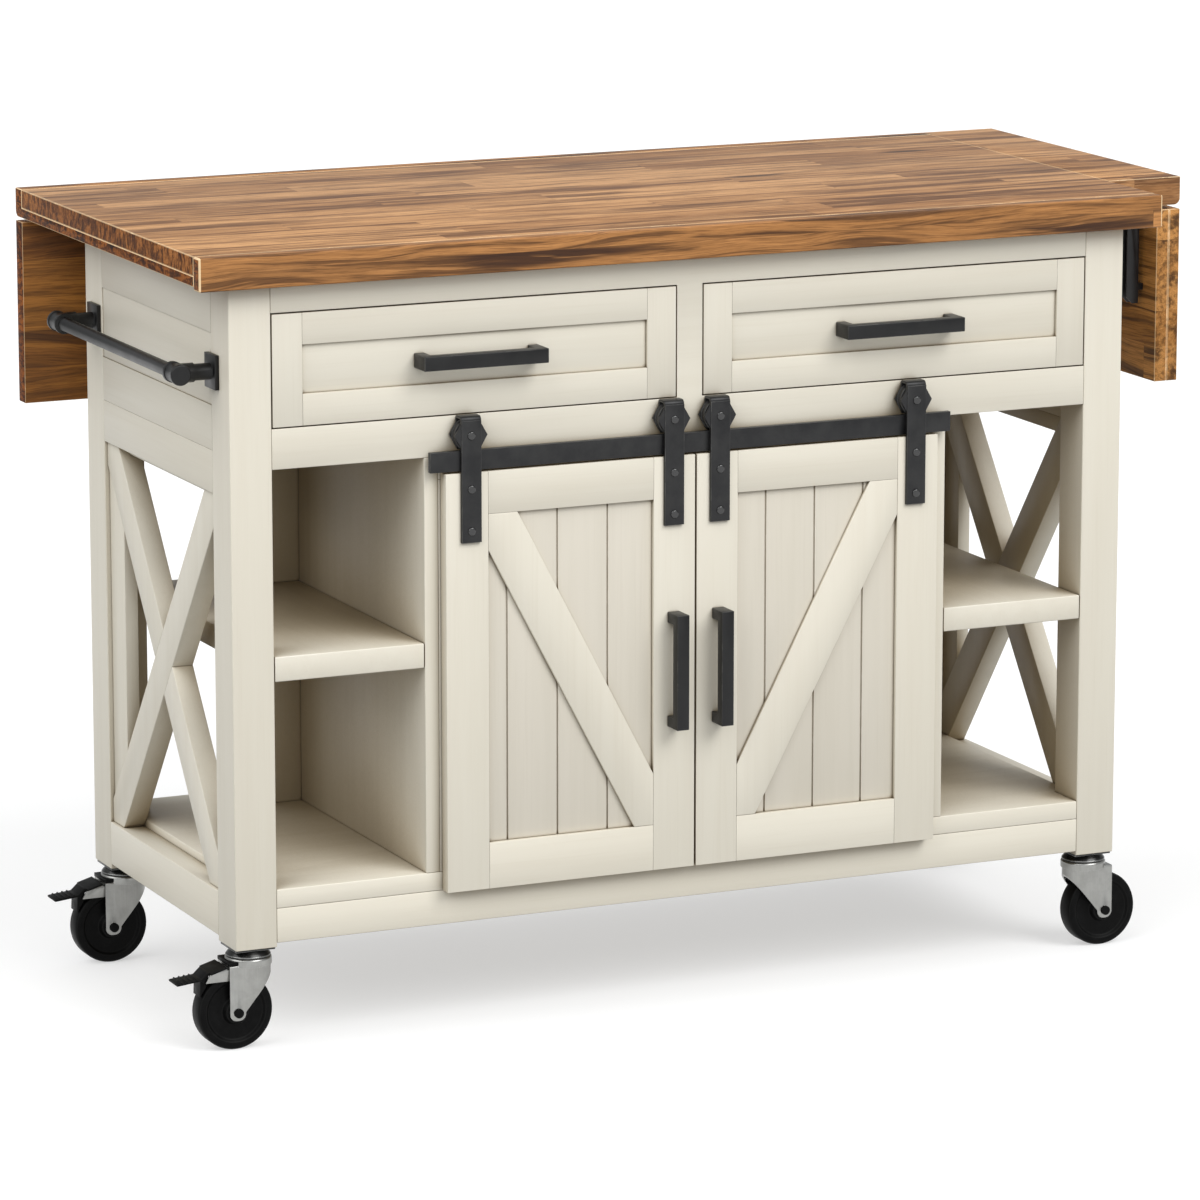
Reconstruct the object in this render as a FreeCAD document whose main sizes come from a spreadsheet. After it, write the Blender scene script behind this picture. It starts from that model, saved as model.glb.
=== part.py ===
"""Rolling kitchen cart with a butcher-block top, two drop leaves, two drawers and sliding barn doors.

Each piece is drawn from the middle of the cabinet on the floor: X runs along the front, Y points to
the back and Z points up. Its Placement then brings it to the part's origin, which lies on the
floor under the middle of the whole cart. All sizes are in millimetres and stand in the sheet.
"""
import FreeCAD, Part
import math
import os
import re
import Sketcher

SIZES = {
    # Whole cart and cabinet
    "total_height": 914,
    "cabinet_width": 1126,
    "cabinet_depth": 470,
    "half_width": "=cabinet_width / 2",
    "half_depth": "=cabinet_depth / 2",
    "panel_thick": 16,
    "rail_thick": 20,
    "match_within": 0.05,
    # Corner posts
    "post_wide": 50,
    "post_deep": 56,
    "post_low": 119,
    "post_round": 1.5,
    "post_edge_x": "=half_width - post_wide",
    "post_edge_y": "=half_depth - post_deep",
    # Worktop: a slab with thicker edge strips, and a short extension at the right end
    "slab_thick": 22,
    "slab_low": "=total_height - slab_thick",
    "edge_drop": 12,
    "edge_low": "=slab_low - edge_drop",
    "worktop_length": 1208,
    "worktop_half": "=worktop_length / 2",
    "front_overhang": 20,
    "back_overhang": 127,
    "worktop_front": "=half_depth + front_overhang",
    "worktop_back": "=half_depth + back_overhang",
    "front_strip_thick": 18.5,
    "front_strip_high": 38,
    "back_strip_thick": 22,
    "end_strip_wide": 38,
    "extension_long": 98.5,
    "extension_front": 122.6,
    "extension_end": "=worktop_half + extension_long",
    "extension_strip_wide": 70,
    "under_round": 8,
    "top_ease": 2,
    # Front frame
    "bottom_rail_low": 124,
    "bottom_rail_high": 40,
    "floor_low": "=bottom_rail_low + bottom_rail_high",
    "floor_thick": 22,
    "floor_top": "=floor_low + floor_thick",
    "top_rail_high": 47.5,
    "drawer_high": 130.5,
    "apron_high": 46,
    "header_high": 26,
    "drawer_top": "=slab_low - top_rail_high",
    "drawer_low": "=drawer_top - drawer_high",
    "apron_low": "=drawer_low - apron_high",
    "header_low": "=apron_low - header_high",
    "stile_wide": 32,
    # Inside boards
    "divider_face": 330,
    "divider_thick": 17,
    "divider_inner": "=divider_face - divider_thick",
    "deck_thick": 12,
    "shelf_thick": 28.5,
    "left_shelf_low": 426,
    "right_shelf_low": 409.5,
    "inner_shelf_low": 400,
    "inner_shelf_thick": 16,
    "shelf_play": 1,
    "pin_radius": 2.5,
    "pin_long": 9,
    "pin_inset": 60,
    # Open ends with crossed braces
    "end_panel_high": 207,
    "end_panel_low": "=slab_low - end_panel_high",
    "end_rail_high": 49,
    "end_rail_low": "=end_panel_low - end_rail_high",
    "end_panel_recess": 1.5,
    "end_field_up": 51,
    "end_field_low": "=end_panel_low + end_field_up",
    "end_field_high": 82,
    "end_field_inset": 5,
    "end_foot_low": 125,
    "end_foot_high": 52,
    "brace_level_cut": 36,
    "brace_upright_cut": 28,
    "brace_recess": 4,
    # Drawers
    "gap": 1.5,
    "drawer_front_thick": 18,
    "drawer_frame_wide": 36,
    "drawer_frame_raise": 4,
    "drawer_side_gap": 13,
    "drawer_wall": 12,
    "drawer_box_lift": 12,
    "drawer_box_low": "=drawer_low + drawer_box_lift",
    "drawer_box_high": 100,
    "drawer_back_play": 16,
    "drawer_box_long": "=cabinet_depth - drawer_front_thick - panel_thick - drawer_back_play",
    "drawer_bottom": 6,
    "runner_lift": 40,
    "runner_low": "=drawer_box_low + runner_lift",
    "runner_high": 24,
    "runner_deep": 12,
    "runner_wall": 1.5,
    "slide_play": 0.4,
    "guide_deep": 10.5,
    # Barn doors
    "door_gap": 2,
    "door_thick": 16,
    "door_back": "=half_depth + door_gap",
    "door_front": "=door_back + door_thick",
    "door_low": 164.6,
    "door_drop": 17.8,
    "door_top": "=apron_low - door_drop",
    "door_inner": 1.2,
    "door_wide": 309.8,
    "door_outer": "=door_inner + door_wide",
    "door_stile": 52,
    "door_top_rail": 49,
    "door_foot_rail": 54,
    "door_field_depth": 5,
    "door_panel_thick": 8,
    "plank_wide": 62.6,
    "left_plank_start": 109.5,
    "right_plank_start": 91,
    "groove_wide": 2,
    "groove_deep": 2,
    "door_brace_cut": 46,
    "door_brace_rise": 70,
    # Sliding gear
    "strap_wide": 24.3,
    "strap_thick": 3,
    "strap_lap": 79.7,
    "strap_low": "=door_top - strap_lap",
    "strap_gap": 12,
    "strap_outer": 281,
    "strap_inner": 29,
    "axle_lift": 43.1,
    "axle_up": "=door_top + axle_lift",
    "rail_half": 328.5,
    "rail_lift": 2.3,
    "rail_low": "=door_top + rail_lift",
    "rail_high": 23,
    "rail_top": "=rail_low + rail_high",
    "rail_deep": 7,
    "track": "=door_front - strap_gap / 2",
    "spacer_radius": 6,
    "spacer_step": 180,
    "roller_play": 0.3,
    "roller_radius": "=axle_up - rail_top - roller_play",
    "flange_high": 1.2,
    "flange_radius": "=roller_radius + flange_high",
    "flange_wide": 1.1,
    "roller_wide": 10,
    "axle_radius": 4,
    "pin_play": 0.1,
    "cheek_radius": 20,
    "bolt_inset": 13,
    "bolt_step": 48.3,
    "strap_bolt_first": "=strap_low + bolt_inset",
    "strap_bolt_second": "=strap_bolt_first + bolt_step",
    "bolt_head_radius": 5,
    "bolt_head_high": 3.2,
    "hook_drop": 13.3,
    "hook_foot": "=axle_up - hook_drop",
    "bend_round": 2,
    "bolt_round": 2,
    # Square bar pulls
    "pull_bar": 12.7,
    "pull_out": 28,
    "drawer_pull_long": 152,
    "drawer_pull_at": 264,
    "drawer_pull_up": "=(drawer_low + drawer_top) / 2",
    "door_pull_long": 135,
    "door_pull_at": 28.3,
    "door_pull_low": 334,
    # Towel bar
    "towel_drop": 115.5,
    "towel_up": "=slab_low - towel_drop",
    "towel_front_inset": 47,
    "towel_front": "=towel_front_inset - half_depth",
    "towel_back_inset": 35,
    "towel_back": "=half_depth - towel_back_inset",
    "towel_plate_wide": 33,
    "towel_plate_high": 39,
    "towel_plate_thick": 5,
    "towel_arm_radius": 9.5,
    "towel_out": 44,
    "towel_bar_radius": 8,
    "towel_elbow_radius": 12,
    "towel_elbow_long": 30,
    "towel_body_radius": 11,
    "towel_ring_long": 6,
    "towel_ring_round": 2,
    "towel_collar_radius": 11,
    "towel_collar_out": 19,
    # Drop leaves and their hinges
    "leaf_gap": 5,
    "pivot_inset": 17,
    "pivot_up": "=total_height - pivot_inset",
    "leaf_top": "=pivot_up - pivot_inset - leaf_gap",
    "back_leaf_thick": 22,
    "back_leaf_wide": 217.5,
    "back_leaf_low": "=leaf_top - back_leaf_wide",
    "right_leaf_thick": 31,
    "right_leaf_wide": 209,
    "right_leaf_low": "=leaf_top - right_leaf_wide",
    "leaf_seam_wide": 1.5,
    "leaf_seam_inset": 14.5,
    "hinge_wide": 34,
    "slot_play": 1.5,
    "slot_behind": 5,
    "slot_deep": "=pivot_inset + slot_behind",
    "knuckle_radius": 4,
    "hinge_pin_radius": 2,
    "knuckle_side": 8,
    "knuckle_play": 0.4,
    "hinge_head": 6.4,
    "hinge_plate": 2,
    "tongue_thick": 2.5,
    "tongue_sink": 28,
    "tongue_play": 0.3,
    "back_hinge_at": 520,
    "back_hinge_step": 346,
    "right_hinge_inset": 62.6,
    "right_hinge_first": "=right_hinge_inset - extension_front",
    "right_hinge_step": "=worktop_back - right_hinge_first - right_hinge_inset",
    # Folding arms that hold the raised leaves
    "arm_long": 110,
    "arm_half": 8,
    "arm_side": 7,
    "arm_wall": 2,
    "arm_play": 0.5,
    "arm_rest": 0.6,
    "arm_drop": 24,
    "right_arm_up": "=slab_low - arm_drop",
    "back_arm_up": "=slab_low - arm_drop",
    "right_arm_reach": "=pivot_up - right_arm_up - right_leaf_thick + pivot_inset",
    "back_arm_reach": "=pivot_up - back_arm_up - back_leaf_thick + pivot_inset",
    "right_arm_inset": 37.6,
    "right_arm_first": "=right_arm_inset - extension_front",
    "right_arm_step": "=worktop_back - right_arm_first - right_hinge_inset",
    "back_arm_at": 400,
    "ear_thick": 2.5,
    "ear_pin_radius": 3,
    "foot_plate": 3,
    "foot_half": 20,
    # Casters
    "caster_x": "=half_width - post_wide / 2",
    "caster_y": "=half_depth - post_deep / 2",
    "overrun": 1,
    "wheel_radius": 45,
    "wheel_wide": 26,
    "wheel_hub_radius": 13,
    "wheel_hub_half": 16.5,
    "wheel_web_half": 10,
    "wheel_rim": 9,
    "wheel_dish": 3,
    "wheel_round": 4,
    "trail": 20,
    "wheel_axle_radius": 4,
    "fork_half": 19.5,
    "fork_thick": 2.5,
    "fork_top": 100,
    "fork_lead": 26,
    "fork_heel": 9.5,
    "fork_nose_high": 11,
    "fork_nose_at": "=fork_lead - fork_half",
    "fork_foot": "=wheel_radius - fork_heel",
    "fork_corner": 8,
    "fork_bend": 2,
    "race_radius": 27,
    "race_high": 7,
    "race_round": 3,
    "race_play": 0.3,
    "dome_radius": 26,
    "dome_top_radius": 20,
    "dome_lip": 1.5,
    "dome_low": "=fork_top + race_high + race_play",
    "king_low": "=fork_top - fork_thick - race_play - king_head_high",
    "mount_thick": 3,
    "mount_half": 24,
    "king_radius": 5,
    "king_head_radius": 9,
    "king_head_high": 2.5,
    "nut_radius": 5.5,
    "nut_high": 4,
    # Brake levers on the left casters, and the lock plate on the crown behind each
    "brake_out": 24.5,
    "brake_up": 93,
    "brake_pin": 2,
    "brake_eye": 4,
    "brake_neck_out": 30.8,
    "brake_neck_up": 95.6,
    "brake_arm_thick": 2,
    "brake_arm_low": 82.5,
    "brake_arm_reach": 57.5,
    "brake_arm_end_up": 92,
    "cover_start": 33,
    "cover_half": 19.5,
    "cover_thick": 2.5,
    "cover_up": 100,
    "ridge_reach": 52,
    "heel_reach": 62,
    "heel_up": 87.5,
    "pedal_reach": 91,
    "pedal_half": 14,
    "pedal_up": 84.5,
    "pedal_thick": 2.5,
    "tread_rib_high": 1.2,
    "tread_rib_wide": 1.6,
    "tread_rib_step": 6,
    "shoe_half": 11,
    "shoe_thick": 7,
    "shoe_play": 1.9,
    "lock_start": 13,
    "lock_end": 30,
    "lock_high": 4.5,
    # Foot blocks under the lower rails
    "foot_block_long": 26,
    "foot_block_wide": 10,
    "foot_block_high": 5,
    # Middle of the whole cart, where the origin lies
    "left_reach": "=caster_x + pedal_reach",
    "front_reach": "=door_front + pull_out",
    "middle_x": "=(extension_end - left_reach) / 2",
    "middle_y": "=(worktop_back - front_reach) / 2",
}

doc = FreeCAD.newDocument("kitchen_cart")
sheet = doc.addObject("Spreadsheet::Sheet", "sizes")
for row, (alias, size) in enumerate(SIZES.items(), start=1):
    sheet.set(f"A{row}", alias)
    sheet.set(f"B{row}", str(size))
    sheet.setAlias(f"B{row}", alias)
doc.recompute()

WORD = re.compile(r"[a-z_]+")
parts = []
cuts = []


def sized(text):
    """Point each size named in a formula at its cell of the sheet."""
    return WORD.sub(lambda found: "sizes." + found[0] if found[0] in SIZES else found[0], str(text))


def number(text):
    return float(sheet.evalExpression(sized(text)))


def keep(piece, label):
    """Name a finished sub-part, so that it is checked and written."""
    piece.Label = label
    parts.append(piece)
    return piece


def place(piece, x="0", y="0", z="0", turn=0.0, axis=(0, 0, 1)):
    """Set a piece down at a point of the cabinet's frame, turned about an axis through its origin."""
    turned = FreeCAD.Rotation(FreeCAD.Vector(*axis), turn)
    piece.Placement = FreeCAD.Placement(FreeCAD.Vector(), turned)
    piece.setExpression("Placement.Base.x", sized(f"{x} - middle_x"))
    piece.setExpression("Placement.Base.y", sized(f"{y} - middle_y"))
    piece.setExpression("Placement.Base.z", sized(z))


def new_body(name, label=None):
    body = doc.addObject("PartDesign::Body", name)
    place(body)
    if label:
        keep(body, label)
    return body


def origin_plane(body, role):
    return next(plane for plane in body.Origin.OriginFeatures if plane.Role == role)


def new_sketch(body, plane, level):
    """Start a sketch on an origin plane, moved to a level along X, Y or Z."""
    sketch = body.newObject("Sketcher::SketchObject", body.Name + "_outline")
    sketch.AttachmentSupport = [(origin_plane(body, plane), "")]
    sketch.MapMode = "FlatFace"
    sign = "-" if plane == "XZ_Plane" else ""
    sketch.setExpression("AttachmentOffset.Base.z", sized(f"{sign}({level})"))
    return sketch


def fix_point(sketch, line, end, across, up):
    """Hold one end of a line, or the centre of a circle, at a named place."""
    for kind, text in (("DistanceX", across), ("DistanceY", up)):
        held = sketch.addConstraint(Sketcher.Constraint(kind, -1, 1, line, end, number(text)))
        sketch.setExpression(f"Constraints[{held}]", sized(text))


def polygon(sketch, points):
    """Draw a closed outline of straight lines, each corner held by its own two sizes."""
    corners = [FreeCAD.Vector(number(across), number(up), 0) for across, up in points]
    first = sketch.GeometryCount
    count = len(corners)
    for index, corner in enumerate(corners):
        sketch.addGeometry(Part.LineSegment(corner, corners[(index + 1) % count]), False)
    for index in range(count):
        following = first + (index + 1) % count
        sketch.addConstraint(Sketcher.Constraint("Coincident", first + index, 2, following, 1))
    for index, (across, up) in enumerate(points):
        fix_point(sketch, first + index, 1, across, up)


def circle(sketch, across, up, radius):
    centre = FreeCAD.Vector(number(across), number(up), 0)
    ring = sketch.addGeometry(Part.Circle(centre, FreeCAD.Vector(0, 0, 1), number(radius)), False)
    held = sketch.addConstraint(Sketcher.Constraint("Radius", ring, number(radius)))
    sketch.setExpression(f"Constraints[{held}]", sized(radius))
    fix_point(sketch, ring, 3, across, up)


def pad(body, sketch, length):
    """Raise a solid: up from XY, to the right from YZ and to the front from XZ."""
    raised = body.newObject("PartDesign::Pad", body.Name + "_pad")
    raised.Profile = sketch
    raised.setExpression("Length", sized(length))
    body.Tip = raised
    return raised


def pocket(body, sketch, length, along_normal=True):
    """Cut to a depth, the same way as a pad from that plane would run unless told otherwise."""
    base = body.Tip
    hollow = body.newObject("PartDesign::Pocket", body.Name + "_pocket")
    hollow.Profile = sketch
    hollow.Reversed = along_normal
    hollow.setExpression("Length", sized(length))
    body.Tip = hollow
    cuts.append((hollow, base))
    return hollow


def mirror(body, plane):
    """Repeat all of the body so far on the other side of an origin plane."""
    doc.recompute()
    mirrored = body.newObject("PartDesign::Mirrored", body.Name + "_mirror")
    mirrored.TransformMode = "Whole shape"
    mirrored.MirrorPlane = (origin_plane(body, plane), [""])
    body.Tip = mirrored
    return mirrored


def repeat(body, axis, length, count):
    """Repeat all of the body so far in a row along an origin axis."""
    doc.recompute()
    row_of = body.newObject("PartDesign::LinearPattern", body.Name + "_row")
    row_of.TransformMode = "Whole shape"
    row_of.Direction = (origin_plane(body, axis), [""])
    row_of.setExpression("Length", sized(length))
    row_of.Occurrences = count
    body.Tip = row_of
    return row_of


def rectangle(left, right, low, high):
    return [(left, low), (right, low), (right, high), (left, high)]


def board(body, x_from, x_to, y_from, y_to, z_from, z_to):
    """A square-cut board, drawn in plan and raised."""
    sketch = new_sketch(body, "XY_Plane", z_from)
    polygon(sketch, rectangle(x_from, x_to, y_from, y_to))
    return pad(body, sketch, f"({z_to}) - ({z_from})")


def profile(body, plane, level, points, length):
    sketch = new_sketch(body, plane, level)
    polygon(sketch, points)
    return pad(body, sketch, length)


def cylinder(body, plane, level, across, up, radius, length):
    sketch = new_sketch(body, plane, level)
    circle(sketch, across, up, radius)
    return pad(body, sketch, length)


def bore(body, plane, level, across, up, radius, length):
    sketch = new_sketch(body, plane, level)
    circle(sketch, across, up, radius)
    return pocket(body, sketch, length)


def trench(body, plane, level, points, length):
    sketch = new_sketch(body, plane, level)
    polygon(sketch, points)
    return pocket(body, sketch, length)


def fillet(body, radius, names):
    base = body.Tip
    rounded = body.newObject("PartDesign::Fillet", body.Name + "_round")
    rounded.Base = (base, names)
    rounded.setExpression("Radius", sized(radius))
    body.Tip = rounded


def round_edges(body, radius, wanted):
    """Round the straight edges whose middle point and direction the test accepts."""
    doc.recompute()
    names = []
    for index, edge in enumerate(body.Tip.Shape.Edges, start=1):
        start = edge.Vertexes[0].Point
        run = edge.Vertexes[-1].Point - start
        if run.Length > 0 and wanted(start + run * 0.5, run.normalize()):
            names.append(f"Edge{index}")
    fillet(body, radius, names)


def near(first, second):
    """True where a measured place is the named one."""
    return math.isclose(first, number(second), abs_tol=number("match_within"))


def round_rims(body, radius, rim, wanted):
    """Round the circular edges of a named radius whose centre the test accepts."""
    doc.recompute()
    names = []
    for index, edge in enumerate(body.Tip.Shape.Edges, start=1):
        curve = edge.Curve
        if isinstance(curve, Part.Circle) and near(curve.Radius, rim) and wanted(curve.Center):
            names.append(f"Edge{index}")
    fillet(body, radius, names)


def revolve(body, sketch, axis):
    """Turn a half profile once round an axis."""
    turned = body.newObject("PartDesign::Revolution", body.Name + "_turned")
    turned.Profile = sketch
    turned.ReferenceAxis = axis
    turned.Angle = 360
    body.Tip = turned


def make_worktop():
    slab = new_body("slab", "worktop_slab")
    slab_front = "front_strip_thick - worktop_front"
    slab_back = "worktop_back - back_strip_thick"
    board(slab, "-worktop_half", "worktop_half", slab_front, slab_back, "slab_low", "total_height")

    nose = new_body("nose", "worktop_front_strip")
    board(nose, "-worktop_half", "worktop_half", "-worktop_front", slab_front,
          "total_height - front_strip_high", "total_height")
    round_edges(nose, "top_ease", lambda middle, run: abs(run.x) > 0.9
                and near(middle.y, "-worktop_front"))

    strips = new_body("strips", "worktop_edge_strips")
    sketch = new_sketch(strips, "YZ_Plane", "-worktop_half")
    polygon(sketch, rectangle(slab_back, "worktop_back", "edge_low", "total_height"))
    pad(strips, sketch, "worktop_length")
    round_edges(strips, "under_round", lambda middle, run: abs(run.x) > 0.9
                and near(middle.y, "worktop_back") and near(middle.z, "edge_low"))
    board(strips, "-worktop_half", "end_strip_wide - worktop_half", slab_front, slab_back,
          "edge_low", "slab_low")
    slots = new_sketch(strips, "XY_Plane", "edge_low")
    for step in range(4):
        middle = f"{step} * back_hinge_step - back_hinge_at"
        polygon(slots, rectangle(f"{middle} - hinge_wide / 2 - slot_play",
                                 f"{middle} + hinge_wide / 2 + slot_play",
                                 "worktop_back - slot_deep", "worktop_back + leaf_gap"))
    pocket(strips, slots, "pivot_up + hinge_head - edge_low")

    extension = new_body("extension", "worktop_extension")
    sketch = new_sketch(extension, "XZ_Plane", "worktop_back")
    inner = "extension_end - extension_strip_wide"
    polygon(sketch, [("worktop_half", "slab_low"), (inner, "slab_low"), (inner, "edge_low"),
                     ("extension_end", "edge_low"), ("extension_end", "total_height"),
                     ("worktop_half", "total_height")])
    pad(extension, sketch, "worktop_back + extension_front")
    round_edges(extension, "under_round", lambda middle, run: abs(run.y) > 0.9
                and near(middle.x, "extension_end") and near(middle.z, "edge_low"))
    slots = new_sketch(extension, "XY_Plane", "edge_low")
    for step in range(2):
        middle = f"right_hinge_first + {step} * right_hinge_step"
        polygon(slots, rectangle("extension_end - slot_deep", "extension_end + leaf_gap",
                                 f"{middle} - hinge_wide / 2 - slot_play",
                                 f"{middle} + hinge_wide / 2 + slot_play"))
    pocket(extension, slots, "pivot_up + hinge_head - edge_low")


def make_posts():
    posts = new_body("posts", "corner_posts")
    board(posts, "-half_width", "-post_edge_x", "-half_depth", "-post_edge_y",
          "post_low", "slab_low")
    round_edges(posts, "post_round", lambda middle, run: abs(run.z) > 0.9)
    mirror(posts, "YZ_Plane")
    mirror(posts, "XZ_Plane")


def make_front_frame():
    """Top rail, apron, bottom rail, centre stile and the header behind the door rail."""
    frame = new_body("face", "face_frame")
    back = "rail_thick - half_depth"
    for low, high in (("bottom_rail_low", "floor_low"), ("apron_low", "drawer_low"),
                      ("drawer_top", "slab_low")):
        board(frame, "-post_edge_x", "post_edge_x", "-half_depth", back, low, high)
    board(frame, "-divider_inner", "divider_inner", "-half_depth", back, "header_low", "apron_low")
    board(frame, "-stile_wide / 2", "stile_wide / 2", "-half_depth", back,
          "drawer_low", "drawer_top")


def make_inside():
    floor = new_body("floor", "bottom_shelf")
    reach = "half_width - panel_thick"
    sketch = new_sketch(floor, "XY_Plane", "floor_low")
    polygon(sketch, [("-post_edge_x", "-half_depth"), ("post_edge_x", "-half_depth"),
                     ("post_edge_x", "-post_edge_y"), (reach, "-post_edge_y"),
                     (reach, "post_edge_y"), ("post_edge_x", "post_edge_y"),
                     ("post_edge_x", "half_depth"), ("-post_edge_x", "half_depth"),
                     ("-post_edge_x", "post_edge_y"), (f"-({reach})", "post_edge_y"),
                     (f"-({reach})", "-post_edge_y"), ("-post_edge_x", "-post_edge_y")])
    pad(floor, sketch, "floor_thick")

    deck = new_body("deck", "drawer_deck")
    sketch = new_sketch(deck, "XY_Plane", "apron_low")
    front = "rail_thick - half_depth"
    back = "half_depth - panel_thick"
    polygon(sketch, [("-post_edge_x", front), ("post_edge_x", front),
                     ("post_edge_x", "-post_edge_y"), (reach, "-post_edge_y"),
                     (reach, "post_edge_y"), ("post_edge_x", "post_edge_y"),
                     ("post_edge_x", back), ("-post_edge_x", back),
                     ("-post_edge_x", "post_edge_y"), (f"-({reach})", "post_edge_y"),
                     (f"-({reach})", "-post_edge_y"), ("-post_edge_x", "-post_edge_y")])
    pad(deck, sketch, "deck_thick")

    walls = new_body("walls", "partitions")
    board(walls, "divider_inner", "divider_face", "-half_depth", back, "floor_top", "apron_low")
    mirror(walls, "YZ_Plane")
    board(walls, "-stile_wide / 2", "stile_wide / 2", front, back,
          "apron_low + deck_thick", "slab_low")

    centre = new_body("centre", "centre_back_panel")
    board(centre, "-divider_face", "divider_face", back, "half_depth", "floor_top", "apron_low")
    backs = new_body("backs", "back_panels")
    board(backs, "-post_edge_x", "post_edge_x", back, "half_depth", "apron_low", "slab_low")
    board(backs, "-post_edge_x", "post_edge_x", "half_depth - rail_thick", "half_depth",
          "bottom_rail_low", "floor_low")

    shelves = new_body("shelves", "middle_shelves")
    pins = new_body("pins", "shelf_pins")
    places = (("divider_face + shelf_play", "post_edge_x - shelf_play", "right_shelf_low",
               "shelf_thick", "-half_depth"),
              ("-post_edge_x + shelf_play", "-divider_face - shelf_play", "left_shelf_low",
               "shelf_thick", "-half_depth"),
              ("-divider_inner + shelf_play", "divider_inner - shelf_play", "inner_shelf_low",
               "inner_shelf_thick", "rail_thick - half_depth"))
    for left, right, low, thick, shelf_front in places:
        board(shelves, left, right, shelf_front, f"{back} - shelf_play", low, f"{low} + {thick}")
        for end in (f"{left} - shelf_play", f"{right} + shelf_play - pin_long"):
            for row in ("pin_inset - half_depth", "half_depth - pin_inset"):
                cylinder(pins, "YZ_Plane", end, row, f"{low} - pin_radius", "pin_radius",
                         "pin_long")


def make_ends():
    rails = new_body("end_rails", "end_rails")
    for low, high in (("end_rail_low", "end_panel_low"),
                      ("end_foot_low", "end_foot_low + end_foot_high")):
        board(rails, "-half_width", "panel_thick - half_width", "-post_edge_y", "post_edge_y",
              low, high)
    mirror(rails, "YZ_Plane")

    panels = new_body("end_panels", "end_panels")
    board(panels, "-half_width", "panel_thick - half_width", "-post_edge_y", "post_edge_y",
          "end_panel_low", "slab_low")
    trench(panels, "YZ_Plane", "-half_width",
           rectangle("end_field_inset - post_edge_y", "post_edge_y - end_field_inset",
                     "end_field_low", "end_field_low + end_field_high"), "end_panel_recess")
    mirror(panels, "YZ_Plane")

    braces = new_body("braces")
    low = "end_foot_low + end_foot_high"
    thick = "panel_thick - brace_recess"
    outer = "brace_recess - half_width"

    def slope(front, back):
        """A brace from the top of one post to the foot of the other, cut to meet both."""
        inward = "+" if front.startswith("-") else "-"
        outward = "-" if inward == "+" else "+"
        return [(front, "end_rail_low"),
                (f"{front} {inward} brace_level_cut", "end_rail_low"),
                (back, f"{low} + brace_upright_cut"), (back, low),
                (f"{back} {outward} brace_level_cut", low),
                (front, "end_rail_low - brace_upright_cut")]

    profile(braces, "YZ_Plane", outer, slope("post_edge_y", "-post_edge_y"), thick)
    trench(braces, "YZ_Plane", outer, slope("-post_edge_y", "post_edge_y"), thick)
    crossing = new_body("crossing")
    profile(crossing, "YZ_Plane", outer, slope("-post_edge_y", "post_edge_y"), thick)
    mirror(braces, "YZ_Plane")
    mirror(crossing, "YZ_Plane")
    both = doc.addObject("Part::Compound", "crossed_braces")
    both.Links = [braces, crossing]
    keep(both, "end_braces")


def make_drawer(side, sign):
    """One drawer: framed front, open box with its two guides, and a square bar pull."""
    def ends(inner, outer):
        """Left and right ends of a span that runs from the middle stile outward."""
        if sign > 0:
            return inner, outer
        return f"-({outer})", f"-({inner})"

    front = new_body(side + "_front", side + "_drawer_front")
    inner, outer = ends("stile_wide / 2 + gap", "post_edge_x - gap")
    low = "drawer_low + gap"
    high = "drawer_top - gap"
    board(front, inner, outer, "-half_depth", "drawer_front_thick - half_depth", low, high)
    sketch = new_sketch(front, "XZ_Plane", "drawer_frame_raise - half_depth")
    polygon(sketch, rectangle(f"{inner} + drawer_frame_wide", f"{outer} - drawer_frame_wide",
                              f"{low} + drawer_frame_wide", f"{high} - drawer_frame_wide"))
    pocket(front, sketch, "drawer_frame_raise")

    box = new_body(side + "_box", side + "_drawer_box")
    left, right = ends("stile_wide / 2 + drawer_side_gap", "post_edge_x - drawer_side_gap")
    start = "drawer_front_thick - half_depth"
    back = f"{start} + drawer_box_long"
    board(box, left, right, start, back, "drawer_box_low", "drawer_box_low + drawer_box_high")
    trench(box, "XY_Plane", "drawer_box_low + drawer_bottom",
           rectangle(f"{left} + drawer_wall", f"{right} - drawer_wall",
                     f"{start} + drawer_wall", f"{back} - drawer_wall"),
           "drawer_box_high - drawer_bottom")
    guide_low = "runner_low + runner_wall + slide_play"
    guide_top = "runner_low + runner_high - runner_wall - slide_play"
    board(box, f"{left} - guide_deep", left, start, back, guide_low, guide_top)
    board(box, right, f"{right} + guide_deep", start, back, guide_low, guide_top)

    pull = new_body(side + "_pull", side + "_drawer_pull")
    middle = "drawer_pull_at" if sign > 0 else "-drawer_pull_at"
    far = f"{middle} + drawer_pull_long / 2"
    close = f"{middle} - drawer_pull_long / 2"
    seat = "drawer_frame_raise - half_depth"
    face = "-half_depth - pull_out"
    sketch = new_sketch(pull, "XY_Plane", "drawer_pull_up - pull_bar / 2")
    polygon(sketch, [(close, seat), (close, face), (far, face), (far, seat),
                     (f"{far} - pull_bar", seat), (f"{far} - pull_bar", f"{face} + pull_bar"),
                     (f"{close} + pull_bar", f"{face} + pull_bar"), (f"{close} + pull_bar", seat)])
    pad(pull, sketch, "pull_bar")


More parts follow.
